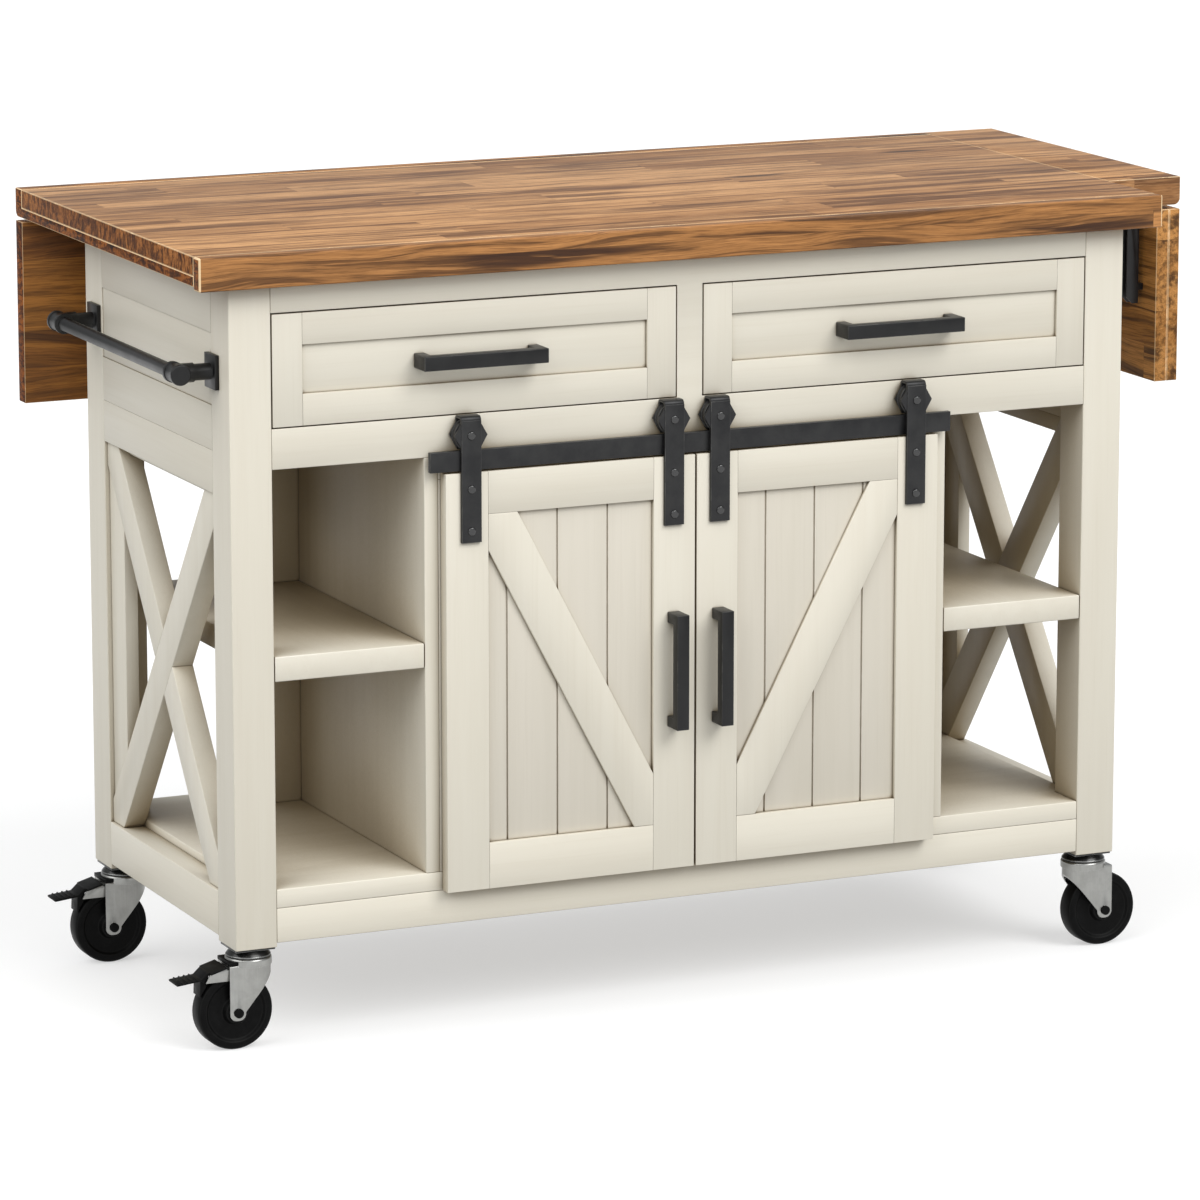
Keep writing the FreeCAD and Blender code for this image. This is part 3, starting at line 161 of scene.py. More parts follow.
def add(tree, kind, **settings):
    """A shader node with its inputs set by name and its properties by keyword."""
    made = tree.nodes.new(kind)
    inputs = settings.pop("inputs", {})
    for key, value in settings.items():
        setattr(made, key, value)
    for key, value in inputs.items():
        if isinstance(value, bpy.types.NodeSocket):
            tree.links.new(value, made.inputs[key])
        else:
            made.inputs[key].default_value = value
    return made


def math_of(tree, operation, first, second=0.5, third=None):
    """A Math node's result."""
    inputs = {0: first, 1: second}
    if third is not None:
        inputs[2] = third
    return add(tree, "ShaderNodeMath", operation=operation, inputs=inputs).outputs[0]


def mix_colours(tree, share, first, second, blend="MIX"):
    """One colour blended over another."""
    mixed = add(tree, "ShaderNodeMix", data_type="RGBA", blend_type=blend,
                inputs={0: share, 6: first, 7: second})
    return mixed.outputs[2]


def step_up(tree, value, low, high):
    """0 below low, 1 above high and smooth between."""
    return add(tree, "ShaderNodeMapRange", interpolation_type="SMOOTHSTEP", inputs={
        0: value, 1: low, 2: high, 3: 0.0, 4: 1.0}).outputs[0]


def noise_at(tree, vector, stretch, detail=3.0, roughness=0.55):
    """Noise of 0 to 1, with its number of waves per metre along each axis."""
    placed = add(tree, "ShaderNodeVectorMath", operation="MULTIPLY",
                 inputs={0: vector, 1: stretch})
    return add(tree, "ShaderNodeTexNoise", inputs={
        "Vector": placed.outputs[0], "Scale": 1.0, "Detail": detail,
        "Roughness": roughness}).outputs["Fac"]


def new_group(name, inputs, outputs):
    """A shader node group and the nodes at its two ends."""
    group = bpy.data.node_groups.new(name, "ShaderNodeTree")
    for label, kind in inputs:
        group.interface.new_socket(label, in_out="INPUT", socket_type="NodeSocket" + kind)
    for label, kind in outputs:
        group.interface.new_socket(label, in_out="OUTPUT", socket_type="NodeSocket" + kind)
    return group, group.nodes.new("NodeGroupInput"), group.nodes.new("NodeGroupOutput")


def colour(red, green, blue):
    """A display colour from 0 to 255, in the shader's linear values."""
    linear = []
    for channel in (red, green, blue):
        share = channel / 255
        linear.append(share / 12.92 if share <= 0.04045 else ((share + 0.055) / 1.055) ** 2.4)
    return (*linear, 1.0)


def marks(tree):
    """A dressed copy's board coordinates, its seed and its arris mark."""
    board = add(tree, "ShaderNodeAttribute", attribute_name="board").outputs["Vector"]
    seed = add(tree, "ShaderNodeAttribute", attribute_name="seed").outputs["Fac"]
    edge = add(tree, "ShaderNodeAttribute", attribute_name="arris").outputs["Fac"]
    return board, seed, edge


# Edge wear and painted highlight are one group: it breaks the arris mark up with noise, so that
# rubbed and highlit spots come and go.
wear_and_highlight, wear_and_highlight_in, wear_and_highlight_out = new_group(
    "edge_wear_and_highlight", (("Place", "Vector"), ("Edge", "Float"), ("Least", "Float")),
    (("Mask", "Float"),))
rubbing_and_highlight = noise_at(wear_and_highlight, wear_and_highlight_in.outputs["Place"], (38, 38, 38), 4.0, 0.65)
wear_and_highlight.links.new(math_of(wear_and_highlight, "MULTIPLY", wear_and_highlight_in.outputs["Edge"], math_of(
    wear_and_highlight, "MAXIMUM", wear_and_highlight_in.outputs["Least"], step_up(wear_and_highlight, rubbing_and_highlight, 0.48, 0.62))),
    wear_and_highlight_out.inputs["Mask"])

# Brushed paint is a group: streaks follow the board, broad ones shift the tone a little, open
# grain shows through as faint lines and bristles leave fine ridges under a satin light.
paint, paint_in, paint_out = new_group(
    "brushed_paint", (("Board", "Vector"), ("Seed", "Float"), ("Light", "Color"),
                      ("Dark", "Color")),
    (("Color", "Color"), ("Roughness", "Float"), ("Height", "Float")))
seed_step = add(paint, "ShaderNodeCombineXYZ", inputs={
    0: math_of(paint, "MULTIPLY", paint_in.outputs["Seed"], 3.71),
    1: math_of(paint, "MULTIPLY", paint_in.outputs["Seed"], 1.37),
    2: math_of(paint, "MULTIPLY", paint_in.outputs["Seed"], 0.83)})
laid = add(paint, "ShaderNodeVectorMath", operation="ADD", inputs={
    0: paint_in.outputs["Board"], 1: seed_step.outputs[0]}).outputs[0]
clouds = noise_at(paint, laid, (2.2, 9.0, 9.0), 3.0)
streaks = noise_at(paint, laid, (2.4, 62.0, 62.0), 4.0, 0.6)
grain_lines = noise_at(paint, laid, (7.0, 330.0, 330.0), 2.0, 0.5)
bristles = noise_at(paint, laid, (16.0, 900.0, 900.0), 2.0, 0.5)
tone = math_of(paint, "ADD", math_of(paint, "MULTIPLY", step_up(paint, clouds, 0.34, 0.68), 0.55),
               math_of(paint, "MULTIPLY", step_up(paint, streaks, 0.36, 0.70), 0.45))
toned = mix_colours(paint, tone, paint_in.outputs["Light"], paint_in.outputs["Dark"])
lined = mix_colours(paint, math_of(
    paint, "MULTIPLY", step_up(paint, grain_lines, 0.54, 0.72), 0.06),
    toned, paint_in.outputs["Dark"], "MULTIPLY")
paint.links.new(lined, paint_out.inputs["Color"])
paint.links.new(math_of(paint, "MULTIPLY_ADD", streaks, 0.16, 0.38), paint_out.inputs["Roughness"])
paint.links.new(math_of(paint, "ADD", math_of(paint, "MULTIPLY", bristles, 0.35), math_of(
    paint, "MULTIPLY", grain_lines, 0.65)), paint_out.inputs["Height"])


# The paint is a warm off-white, brushed on after the boards were joined. Painted shade darkens it
# where two boards meet and in inner corners and recesses. It covers the posts, the front frame, the
# partitions and the backs.
THIN_PAINT_HIGHLIGHT = colour(236, 231, 219)
CREVICE_PAINTED_SHADE = colour(122, 108, 86)
CREVICE_REACH = 0.005
PAINTED_SHADE_TINT = (0.46, 0.39, 0.29, 1)
PAINTED_SHADE_REACH = 0.32


def cream_paint(name, light, dark):
    """Brushed paint between two tones, paler along edges with wear and a painted highlight, and
    darkened by painted shade in crevices and where other boards shelter it.
    """
    material, tree, shader = new_material(name)
    board, seed, edge = marks(tree)
    brushed = add(tree, "ShaderNodeGroup", node_tree=paint, inputs={
        "Board": board, "Seed": seed, "Light": colour(*light), "Dark": colour(*dark)})
    # Wear and a painted highlight: the arrises turn paler, towards the thin paint tone
    edge_wear_and_highlight = add(tree, "ShaderNodeGroup", node_tree=wear_and_highlight, inputs={
        "Place": board, "Edge": edge, "Least": 0.25})
    thinned_and_highlit = mix_colours(tree, math_of(tree, "MULTIPLY", edge_wear_and_highlight.outputs[0], 0.45),
                          brushed.outputs["Color"], THIN_PAINT_HIGHLIGHT)
    # Painted shade: the paint darkens where a short-reach AO finds boards meeting or an inner
    # corner
    crevice = add(tree, "ShaderNodeAmbientOcclusion", samples=8, inputs={
        "Distance": CREVICE_REACH})
    crevice_shaded = mix_colours(tree, math_of(tree, "MULTIPLY", step_up(
        tree, crevice.outputs["AO"], 0.78, 0.22), 0.65), thinned_and_highlit, CREVICE_PAINTED_SHADE)
    # Painted shade: deep inside, where other boards shut out the room, the paint is darkened and
    # warmed
    sheltered = add(tree, "ShaderNodeAmbientOcclusion", samples=16, inputs={
        "Distance": PAINTED_SHADE_REACH})
    painted_shade = mix_colours(tree, 1.0, crevice_shaded, PAINTED_SHADE_TINT, "MULTIPLY")
    shaded = mix_colours(tree, step_up(tree, sheltered.outputs["AO"], 0.70, 0.10), crevice_shaded, painted_shade)
    bump = add(tree, "ShaderNodeBump", inputs={
        "Strength": 0.10, "Distance": 0.0003, "Height": brushed.outputs["Height"]})
    tree.links.new(shaded, shader.inputs["Base Color"])
    tree.links.new(brushed.outputs["Roughness"], shader.inputs["Roughness"])
    tree.links.new(bump.outputs[0], shader.inputs["Normal"])
    shader.inputs["Specular IOR Level"].default_value = 0.4
    return material


cream = cream_paint("cream_paint", light=(225, 219, 204), dark=(220, 213, 197))

for part in ("corner_posts", "partitions", "centre_back_panel", "face_frame", "back_panels"):
    dressed(part, "cart", cream, arris=0.0009)

# The open ends are framed with boards 30 mm thick: a rail above and below, two crossed braces
# half lapped between them, a batten inside the rail and a narrow stile screwed to the back post.
# Places here and in the next sections are in millimetres about the cabinet's middle.
LOW, HIGH = 0, 1


def side_of(node, axis, end):
    """Where a solid starts (LOW) or stops (HIGH) along an axis."""
    number = "XYZ".index(axis)
    return (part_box(node)[end][number] - CABINET_TO_ORIGIN[number]) * 1000


half_width = side_of("end_panels", "X", HIGH)
post_edge = side_of("end_panels", "Y", HIGH)
PANEL_THICK = 16
END_BOARD_THICK = 30
solid_inner = half_width - PANEL_THICK
end_inner = half_width - END_BOARD_THICK
STILE_OUTER, STILE_INNER, STILE_WIDE = 557, 541, 47
STILE_LOW, STILE_HIGH = 196, 618
END_RAIL_LOW = 636
LEFT_BATTEN_HIGH, RIGHT_BATTEN_HIGH = 10, 19
NEAR = 0.5


def thicken(place):
    """The end boards' inner faces, and the shelf's ends that meet them, at the photo's place."""
    across = (place.x - CABINET_TO_ORIGIN.x) * 1000
    if abs(abs(across) - solid_inner) < NEAR:
        across = math.copysign(end_inner, across)
    return Vector((across / 1000 + CABINET_TO_ORIGIN.x, place.y, place.z))


for part in ("end_rails", "end_braces"):
    dressed(part, "cart", cream, arris=0.0009, reshape=thicken)
dressed(None, "cart", cream, arris=0.0009, name="end_back_stiles", boards=[
    from_middle((side * STILE_OUTER, post_edge - STILE_WIDE, STILE_LOW),
                (side * STILE_INNER, post_edge, STILE_HIGH))
    for side in (-1, 1)])
dressed(None, "cart", cream, arris=0.0009, name="end_battens", boards=[
    from_middle((side * solid_inner, -post_edge, END_RAIL_LOW - high),
                (side * end_inner, post_edge, END_RAIL_LOW))
    for side, high in ((-1, LEFT_BATTEN_HIGH), (1, RIGHT_BATTEN_HIGH))])

# Each end is closed above by a panel of three boards. The middle one is sunk a little, and all
# three run from post to post under the worktop.
FIELD_SUNK = 1.5
FIELD_LOW, FIELD_HIGH = 736, 818
dressed("end_panels", "cart", cream, arris=0.0008, boards=[
    from_middle((side * solid_inner, -post_edge, low), (side * outer, post_edge, high))
    for side in (-1, 1)
    for outer, low, high in (
        (half_width, side_of("end_panels", "Z", LOW), FIELD_LOW),
        (half_width - FIELD_SUNK, FIELD_LOW, FIELD_HIGH),
        (half_width, FIELD_HIGH, side_of("end_panels", "Z", HIGH)))])

# A narrow stop is glued to each divider's front edge. It closes the gap beside the doors, from
# the bottom shelf up to the header behind the rail.
DIVIDER_INNER = 313
STOP_WIDE, STOP_DEEP = 16, 12
HEADER_HIGH = 26
cabinet_front = side_of("corner_posts", "Y", LOW)
shelf_top = side_of("bottom_shelf", "Z", HIGH)
deck_low = side_of("drawer_deck", "Z", LOW)
dressed(None, "cart", cream, arris=0.0008, name="door_stops", boards=[
    from_middle((side * DIVIDER_INNER, cabinet_front, shelf_top),
                (side * (DIVIDER_INNER - STOP_WIDE), cabinet_front + STOP_DEEP,
                 deck_low - HEADER_HIGH))
    for side in (-1, 1)])

# Two uprights stand behind the open shelves, against the dividers, above and below each middle
# shelf, which is held between them. They are sawn square like the corner posts and glued.
DIVIDER_OUTER = 330
UPRIGHT_WIDE = 52
UPRIGHT_FRONT, UPRIGHT_BACK = 152, 203
LEFT_SHELF_LOW, RIGHT_SHELF_LOW, MIDDLE_SHELF_THICK = 426, 409.5, 28.5
dressed(None, "cart", cream, arris=0.0009, name="divider_uprights", boards=[
    from_middle((side * (DIVIDER_OUTER + UPRIGHT_WIDE), UPRIGHT_FRONT, low),
                (side * DIVIDER_OUTER, UPRIGHT_BACK, high))
    for side, shelf_low in ((-1, LEFT_SHELF_LOW), (1, RIGHT_SHELF_LOW))
    for low, high in ((shelf_top, shelf_low), (shelf_low + MIDDLE_SHELF_THICK, deck_low))])

# Inside, the same paint covers the bottom shelf, the deck under the drawers and the middle
# shelves, which stand on small zinc pins pressed into the posts and dividers.
for part in ("bottom_shelf", "drawer_deck", "middle_shelves"):
    dressed(part, "cart", cream, arris=0.0012,
            reshape=thicken if part == "bottom_shelf" else None)

# Zinc plate is cold bright steel with faint drawn streaks and cloudy dulling. Its edges are
# brighter with rubbed wear and a painted highlight. It covers the shelf pins, drawer runners, forks
# and lever arms.
BRIGHT_ZINC = colour(163, 163, 160)
DULLED_ZINC = colour(153, 153, 150)
STREAKED_ZINC = colour(104, 104, 101)
RUBBED_ZINC_HIGHLIGHT = colour(238, 238, 236)
zinc, zinc_tree, zinc_shader = new_material("zinc_plate")
zinc_place = add(zinc_tree, "ShaderNodeTexCoord").outputs["Object"]
zinc_edge = add(zinc_tree, "ShaderNodeAttribute", attribute_name="arris").outputs["Fac"]
drawn = noise_at(zinc_tree, zinc_place, (900, 900, 26), 3.0)
dulling = noise_at(zinc_tree, zinc_place, (60, 60, 60), 4.0, 0.6)
zinc_wear_and_highlight = add(zinc_tree, "ShaderNodeGroup", node_tree=wear_and_highlight, inputs={
    "Place": zinc_place, "Edge": zinc_edge, "Least": 0.6})
clouded = mix_colours(zinc_tree, step_up(zinc_tree, dulling, 0.35, 0.68), BRIGHT_ZINC,
                      DULLED_ZINC)
zinc_streaked = mix_colours(zinc_tree, math_of(zinc_tree, "MULTIPLY", drawn, 0.28), clouded,
                            STREAKED_ZINC)
# Wear and a painted highlight: the arrises go nearly white
zinc_tree.links.new(mix_colours(zinc_tree, math_of(
    zinc_tree, "MULTIPLY", zinc_wear_and_highlight.outputs[0], 0.8), zinc_streaked, RUBBED_ZINC_HIGHLIGHT),
    zinc_shader.inputs["Base Color"])
zinc_tree.links.new(math_of(zinc_tree, "MULTIPLY_ADD", dulling, 0.12, 0.24),
                    zinc_shader.inputs["Roughness"])
zinc_bump = add(zinc_tree, "ShaderNodeBump", inputs={
    "Strength": 0.10, "Distance": 0.0002, "Height": drawn})
zinc_tree.links.new(zinc_bump.outputs[0], zinc_shader.inputs["Normal"])
zinc_shader.inputs["Metallic"].default_value = 1.0

for part in ("shelf_pins", "drawer_runners"):
    dressed(part, "cart", zinc, arris=0.0003)


# Powder coat is matt black with a fine orange peel, and its arrises are grey with rubbed wear and a
# painted highlight. It covers the towel bar, pulls, rail, hangers, hinges and leaf arms. The towel
# bar is screwed through its plates.
def powder_coat(name, dark, light, rubbed_highlight, rough=0.28, shine=0.35):
    """Powder coat between two tones, paler along its edges with rubbed wear and a painted
    highlight.
    """
    material, tree, shader = new_material(name)
    place = add(tree, "ShaderNodeTexCoord").outputs["Object"]
    edge = add(tree, "ShaderNodeAttribute", attribute_name="arris").outputs["Fac"]
    peel = noise_at(tree, place, (1300, 1300, 1300), 2.0)
    handling = noise_at(tree, place, (34, 34, 34), 4.0, 0.6)
    rubbing_and_highlight = add(tree, "ShaderNodeGroup", node_tree=wear_and_highlight, inputs={
        "Place": place, "Edge": edge, "Least": 0.35})
    handled = mix_colours(tree, step_up(tree, handling, 0.32, 0.70), colour(*dark), colour(*light))
    # Wear and a painted highlight: the arrises turn grey
    tree.links.new(mix_colours(tree, math_of(tree, "MULTIPLY", rubbing_and_highlight.outputs[0], 0.55), handled,
                               colour(*rubbed_highlight)), shader.inputs["Base Color"])
    tree.links.new(math_of(tree, "MULTIPLY_ADD", handling, 0.20, rough), shader.inputs["Roughness"])
    shader.inputs["Specular IOR Level"].default_value = shine
    bump = add(tree, "ShaderNodeBump", inputs={
        "Strength": 0.20, "Distance": 0.0002, "Height": peel})
    tree.links.new(bump.outputs[0], shader.inputs["Normal"])
    return material


black = powder_coat("black_powder_coat", dark=(22, 22, 24), light=(38, 38, 38),
                    rubbed_highlight=(112, 111, 108))
deep_black = powder_coat("deep_black_coat", dark=(8, 8, 9), light=(18, 18, 18),
                         rubbed_highlight=(82, 81, 78))

for part, body in (("door_rail", "cart"), ("towel_bar", "cart"), ("leaf_hinge_bases", "cart"),
                   ("leaf_arm_feet", "cart"), ("foot_blocks", "cart"),
                   ("back_leaf_hinges", "back_leaf_body"), ("right_leaf_hinges", "right_leaf_body"),
                   ("back_leaf_arms", "back_arms_body"), ("right_leaf_arms", "right_arms_body")):
    dressed(part, body, deep_black if part == "towel_bar" else black, arris=0.0006)

# Each drawer has a framed front painted like the cabinet, a plain birch box and a square pull.
# The box is bare wood, pale, with a fine wavy grain along each side.
PALE_BIRCH = colour(216, 192, 154)
GRAINED_BIRCH = colour(186, 154, 112)
RUBBED_BIRCH = colour(226, 206, 172)
FLECKED_BIRCH = colour(150, 116, 76)
birch, birch_tree, birch_shader = new_material("birch")
board, seed, edge = marks(birch_tree)
birch_grain = noise_at(birch_tree, board, (5, 110, 110), 5.0, 0.6)
birch_flecks = noise_at(birch_tree, board, (40, 900, 900), 2.0)
birch_toned = mix_colours(birch_tree, step_up(birch_tree, birch_grain, 0.32, 0.70),
                          PALE_BIRCH, GRAINED_BIRCH)
birch_worn = mix_colours(birch_tree, math_of(birch_tree, "MULTIPLY", edge, 0.3), birch_toned,
                         RUBBED_BIRCH)
birch_tree.links.new(mix_colours(birch_tree, math_of(
    birch_tree, "MULTIPLY", step_up(birch_tree, birch_flecks, 0.58, 0.72), 0.35), birch_worn,
    FLECKED_BIRCH), birch_shader.inputs["Base Color"])
birch_tree.links.new(math_of(birch_tree, "MULTIPLY_ADD", birch_grain, 0.2, 0.42),
                     birch_shader.inputs["Roughness"])
birch_bump = add(birch_tree, "ShaderNodeBump", inputs={
    "Strength": 0.15, "Distance": 0.0003, "Height": birch_flecks})
birch_tree.links.new(birch_bump.outputs[0], birch_shader.inputs["Normal"])

DRAWER_FRAME = 0.036
DRAWER_FIELD_SUNK = 0.004
PULL_TALLER = 1.32
for side in ("left", "right"):
    low, high = (Vector(corner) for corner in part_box(f"{side}_drawer_front"))
    inner_low = low + Vector((DRAWER_FRAME, 0, DRAWER_FRAME))
    inner_high = high - Vector((DRAWER_FRAME, 0, DRAWER_FRAME))
    dressed(f"{side}_drawer_front", f"{side}_drawer", cream, arris=0.0007, boards=[
        (low, (inner_low.x, high.y, high.z)), ((inner_high.x, low.y, low.z), high),
        ((inner_low.x, low.y, inner_high.z), (inner_high.x, high.y, high.z)),
        ((inner_low.x, low.y, low.z), (inner_high.x, high.y, inner_low.z)),
        ((inner_low.x, low.y + DRAWER_FIELD_SUNK, inner_low.z),
         (inner_high.x, high.y, inner_high.z))])
    dressed(f"{side}_drawer_box", f"{side}_drawer", birch, arris=0.0006)
    pull_up = (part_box(f"{side}_drawer_pull")[0][2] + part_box(f"{side}_drawer_pull")[1][2]) / 2
    dressed(f"{side}_drawer_pull", f"{side}_drawer", deep_black, arris=0.0010,
            reshape=lambda place, up=pull_up: Vector((
                place.x, place.y, up + (place.z - up) * PULL_TALLER)))

# Each barn door is a frame round grooved planks with one slanted brace, hung on two straps
# that hook over rollers on the rail. Its planks and stiles were painted upright, and the planks
# took the paint a little darker.
plank_cream = cream_paint("plank_paint", light=(215, 208, 194), dark=(209, 202, 187))
# The bolt heads are a glossier coat, and their pale arrises are a painted glint
bolt_black = powder_coat("bolt_black", dark=(16, 16, 17), light=(28, 28, 28),
                         rubbed_highlight=(150, 149, 145), rough=0.08, shine=0.8)
DOOR_STILE = 0.052
DOOR_TOP_RAIL = 0.049
DOOR_FOOT_RAIL = 0.054
# How far each brace's cut corners lie from the frame's: across, and up or down
SOLID_CUT, SOLID_RISE = 0.046, 0.070
TOP_CUT, TOP_RISE = 0.036, 0.042
FOOT_CUT, FOOT_RISE = 0.024, 0.061
PULL_WIDER = 1.2
# Each strap lies over its six-sided cheek, as a step a little over a millimetre high
BOLT_HEAD = 0.0032
CHEEK_RADIUS = 0.020
STRAP_HALF = 0.01215
STRAP_STEP = 0.0012
BEND_HIGH = 0.005


def slimmer_brace(side):
    """The door brace's corners, moved to the narrower board that the photograph shows."""
    low, high = (Vector(corner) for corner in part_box(f"{side}_door_brace"))
    outer = low.x if side == "left" else high.x
    inward = 1 if side == "left" else -1
    wide, tall = high.x - low.x, high.z - low.z
    moves = (((SOLID_CUT, 0), (TOP_CUT, 0)), ((0, SOLID_RISE), (0, TOP_RISE)),
             ((wide - SOLID_CUT, tall), (wide - FOOT_CUT, tall)),
             ((wide, tall - SOLID_RISE), (wide, tall - FOOT_RISE)))

    def moved(place):
        """A corner of the solid's brace, at its new place if it is one of the four cut ones."""
        across, down = (place.x - outer) * inward, high.z - place.z
        for (old_across, old_down), (new_across, new_down) in moves:
            if abs(across - old_across) < 0.001 and abs(down - old_down) < 0.001:
                across, down = new_across, new_down
                break
        return Vector((outer + across * inward, place.y, high.z - down))

    return moved


for side in ("left", "right"):
    low, high = (Vector(corner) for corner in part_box(f"{side}_door_frame"))
    start, end = low.x + DOOR_STILE, high.x - DOOR_STILE
    dressed(f"{side}_door_frame", f"{side}_door", cream, arris=0.0007, boards=[
        (low, (start, high.y, high.z)), ((end, low.y, low.z), high),
        ((start, low.y, high.z - DOOR_TOP_RAIL), (end, high.y, high.z)),
        ((start, low.y, low.z), (end, high.y, low.z + DOOR_FOOT_RAIL))])
    dressed(f"{side}_door_panel", f"{side}_door", plank_cream, arris=0.0007,
            axes="ZXY")
    dressed(f"{side}_door_brace", f"{side}_door", cream, arris=0.0009, axes="ZXY",
            reshape=slimmer_brace(side))
    low, high = (Vector(corner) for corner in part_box(f"{side}_door_pull"))
    dressed(f"{side}_door_pull", f"{side}_door", deep_black, arris=0.0008,
            reshape=lambda place, middle=(low.x + high.x) / 2: Vector((
                middle + (place.x - middle) * PULL_WIDER, place.y, place.z)))
    low, high = (Vector(corner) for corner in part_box(f"{side}_door_hangers"))
    strap_front = low.y + BOLT_HEAD
    dressed(f"{side}_door_hangers", f"{side}_door", black, arris=0.0008,
            second=bolt_black, second_where=lambda middle, front=strap_front: (
                middle.y < front - STRAP_STEP))
    dressed(None, f"{side}_door", black, arris=0.0005,
            name=f"{side}_strap_faces", axes="ZXY", boards=[
                ((middle - STRAP_HALF, strap_front - STRAP_STEP, low.z),
                 (middle + STRAP_HALF, strap_front, high.z - BEND_HIGH))
                for middle in (low.x + CHEEK_RADIUS, high.x - CHEEK_RADIUS)])
    for place in ("inner", "outer"):
        dressed(f"{side}_{place}_roller", f"{side}_{place}_roller_body", black,
                arris=0.0005)

# Butcher block: staves of oiled acacia glued side by side. Each was cut from its own place in a
# log, so each has its own tone, and its streaks, pores and knots run or bend along the stave.
PORE = colour(70, 42, 22)
KNOT = colour(58, 34, 18)
KNOTLESS_SHARE = 0.86
GLUE_LINE = colour(62, 38, 20)
GLUE_HALF = 0.00045
BUTT_HALF = 0.0004
PALE_END_TINT = (0.74, 0.53, 0.32, 1)
CRACKED_END_TINT = (0.24, 0.15, 0.08, 1)
RUBBED_WOOD_HIGHLIGHT = colour(244, 212, 168)
stave, wood_in, wood_out = new_group(
    "stave_wood", (("Board", "Vector"), ("Seed", "Float"), ("Edge", "Float"), ("End", "Float"),
                   ("Start", "Float"), ("Stave Width", "Float"), ("Stave Length", "Float"),
                   ("Light", "Color"), ("Middle", "Color"), ("Heart", "Color"),
                   ("Contrast", "Float"), ("Fineness", "Float"), ("End Dark", "Float")),
    (("Color", "Color"), ("Roughness", "Float"), ("Height", "Float")))
split_place = add(stave, "ShaderNodeSeparateXYZ", inputs={0: wood_in.outputs["Board"]})
along, across, depth = split_place.outputs
row_place = math_of(stave, "DIVIDE", math_of(stave, "SUBTRACT", across, wood_in.outputs["Start"]),
                    wood_in.outputs["Stave Width"])
row = math_of(stave, "FLOOR", row_place)
row_vector = add(stave, "ShaderNodeCombineXYZ", inputs={0: row, 1: wood_in.outputs["Seed"]})
row_random = add(stave, "ShaderNodeTexWhiteNoise", noise_dimensions="3D",
                 inputs={"Vector": row_vector.outputs[0]}).outputs["Value"]
run_place = math_of(stave, "ADD", math_of(stave, "DIVIDE", along, wood_in.outputs["Stave Length"]),
                    math_of(stave, "MULTIPLY", row_random, 7.0))
run = math_of(stave, "FLOOR", run_place)
stave_vector = add(stave, "ShaderNodeCombineXYZ", inputs={
    0: row, 1: run, 2: wood_in.outputs["Seed"]})
stave_random = add(stave, "ShaderNodeTexWhiteNoise", noise_dimensions="3D",
                   inputs={"Vector": stave_vector.outputs[0]})
split = add(stave, "ShaderNodeSeparateColor", inputs={0: stave_random.outputs["Color"]})
tone_random, shift_random, heart_random = split.outputs

# Knots lie in a few cells of a stretched mosaic; the grain bows out round each
cell_place = add(stave, "ShaderNodeCombineXYZ", inputs={
    0: math_of(stave, "MULTIPLY_ADD", along, 3.1, math_of(stave, "MULTIPLY", shift_random, 9.0)),
    1: math_of(stave, "MULTIPLY", across, 15.0), 2: math_of(stave, "MULTIPLY", depth, 15.0)})
cells = add(stave, "ShaderNodeTexVoronoi", inputs={"Vector": cell_place.outputs[0], "Scale": 1.0})
chosen = math_of(stave, "GREATER_THAN", add(stave, "ShaderNodeSeparateColor", inputs={
    0: cells.outputs["Color"]}).outputs[0], KNOTLESS_SHARE)
knot_near = math_of(stave, "MULTIPLY", chosen, step_up(stave, cells.outputs["Distance"], 0.55, 0.0))
knot = math_of(stave, "MULTIPLY", chosen, step_up(stave, cells.outputs["Distance"], 0.17, 0.07))

# The grain wanders slowly, and each stave starts at its own place in the noise
wander_place = add(stave, "ShaderNodeCombineXYZ", inputs={
    0: math_of(stave, "MULTIPLY_ADD", along, 3.4, math_of(stave, "MULTIPLY", shift_random, 31.0)),
    1: math_of(stave, "MULTIPLY", across, 9.0), 2: math_of(stave, "MULTIPLY", depth, 9.0)})
wander = add(stave, "ShaderNodeTexNoise", inputs={
    "Vector": wander_place.outputs[0], "Scale": 1.0, "Detail": 2.0}).outputs["Fac"]
bent = math_of(stave, "ADD", math_of(stave, "MULTIPLY_ADD", wander, 0.042, across),
               math_of(stave, "MULTIPLY", knot_near, 0.012))
fineness = wood_in.outputs["Fineness"]
grain_place = add(stave, "ShaderNodeCombineXYZ", inputs={
    0: math_of(stave, "MULTIPLY_ADD", shift_random, 13.0, along),
    1: math_of(stave, "MULTIPLY_ADD", heart_random, 5.0, math_of(
        stave, "MULTIPLY", bent, fineness)),
    2: math_of(stave, "MULTIPLY_ADD", tone_random, 3.0, math_of(
        stave, "MULTIPLY", depth, fineness))}).outputs[0]
bands = noise_at(stave, grain_place, (2.6, 46.0, 46.0), 2.0, 0.5)
streaks = noise_at(stave, grain_place, (6.0, 150.0, 150.0), 3.0, 0.6)
fibres = noise_at(stave, grain_place, (22.0, 800.0, 800.0), 3.0, 0.6)
pores = noise_at(stave, grain_place, (60.0, 1900.0, 1900.0), 1.0, 0.5)
lean = math_of(stave, "MULTIPLY", math_of(stave, "SUBTRACT", math_of(
    stave, "FRACT", row_place), 0.5), math_of(stave, "MULTIPLY_ADD", heart_random, 0.22, -0.04))
bands = math_of(stave, "ADD", bands, lean)

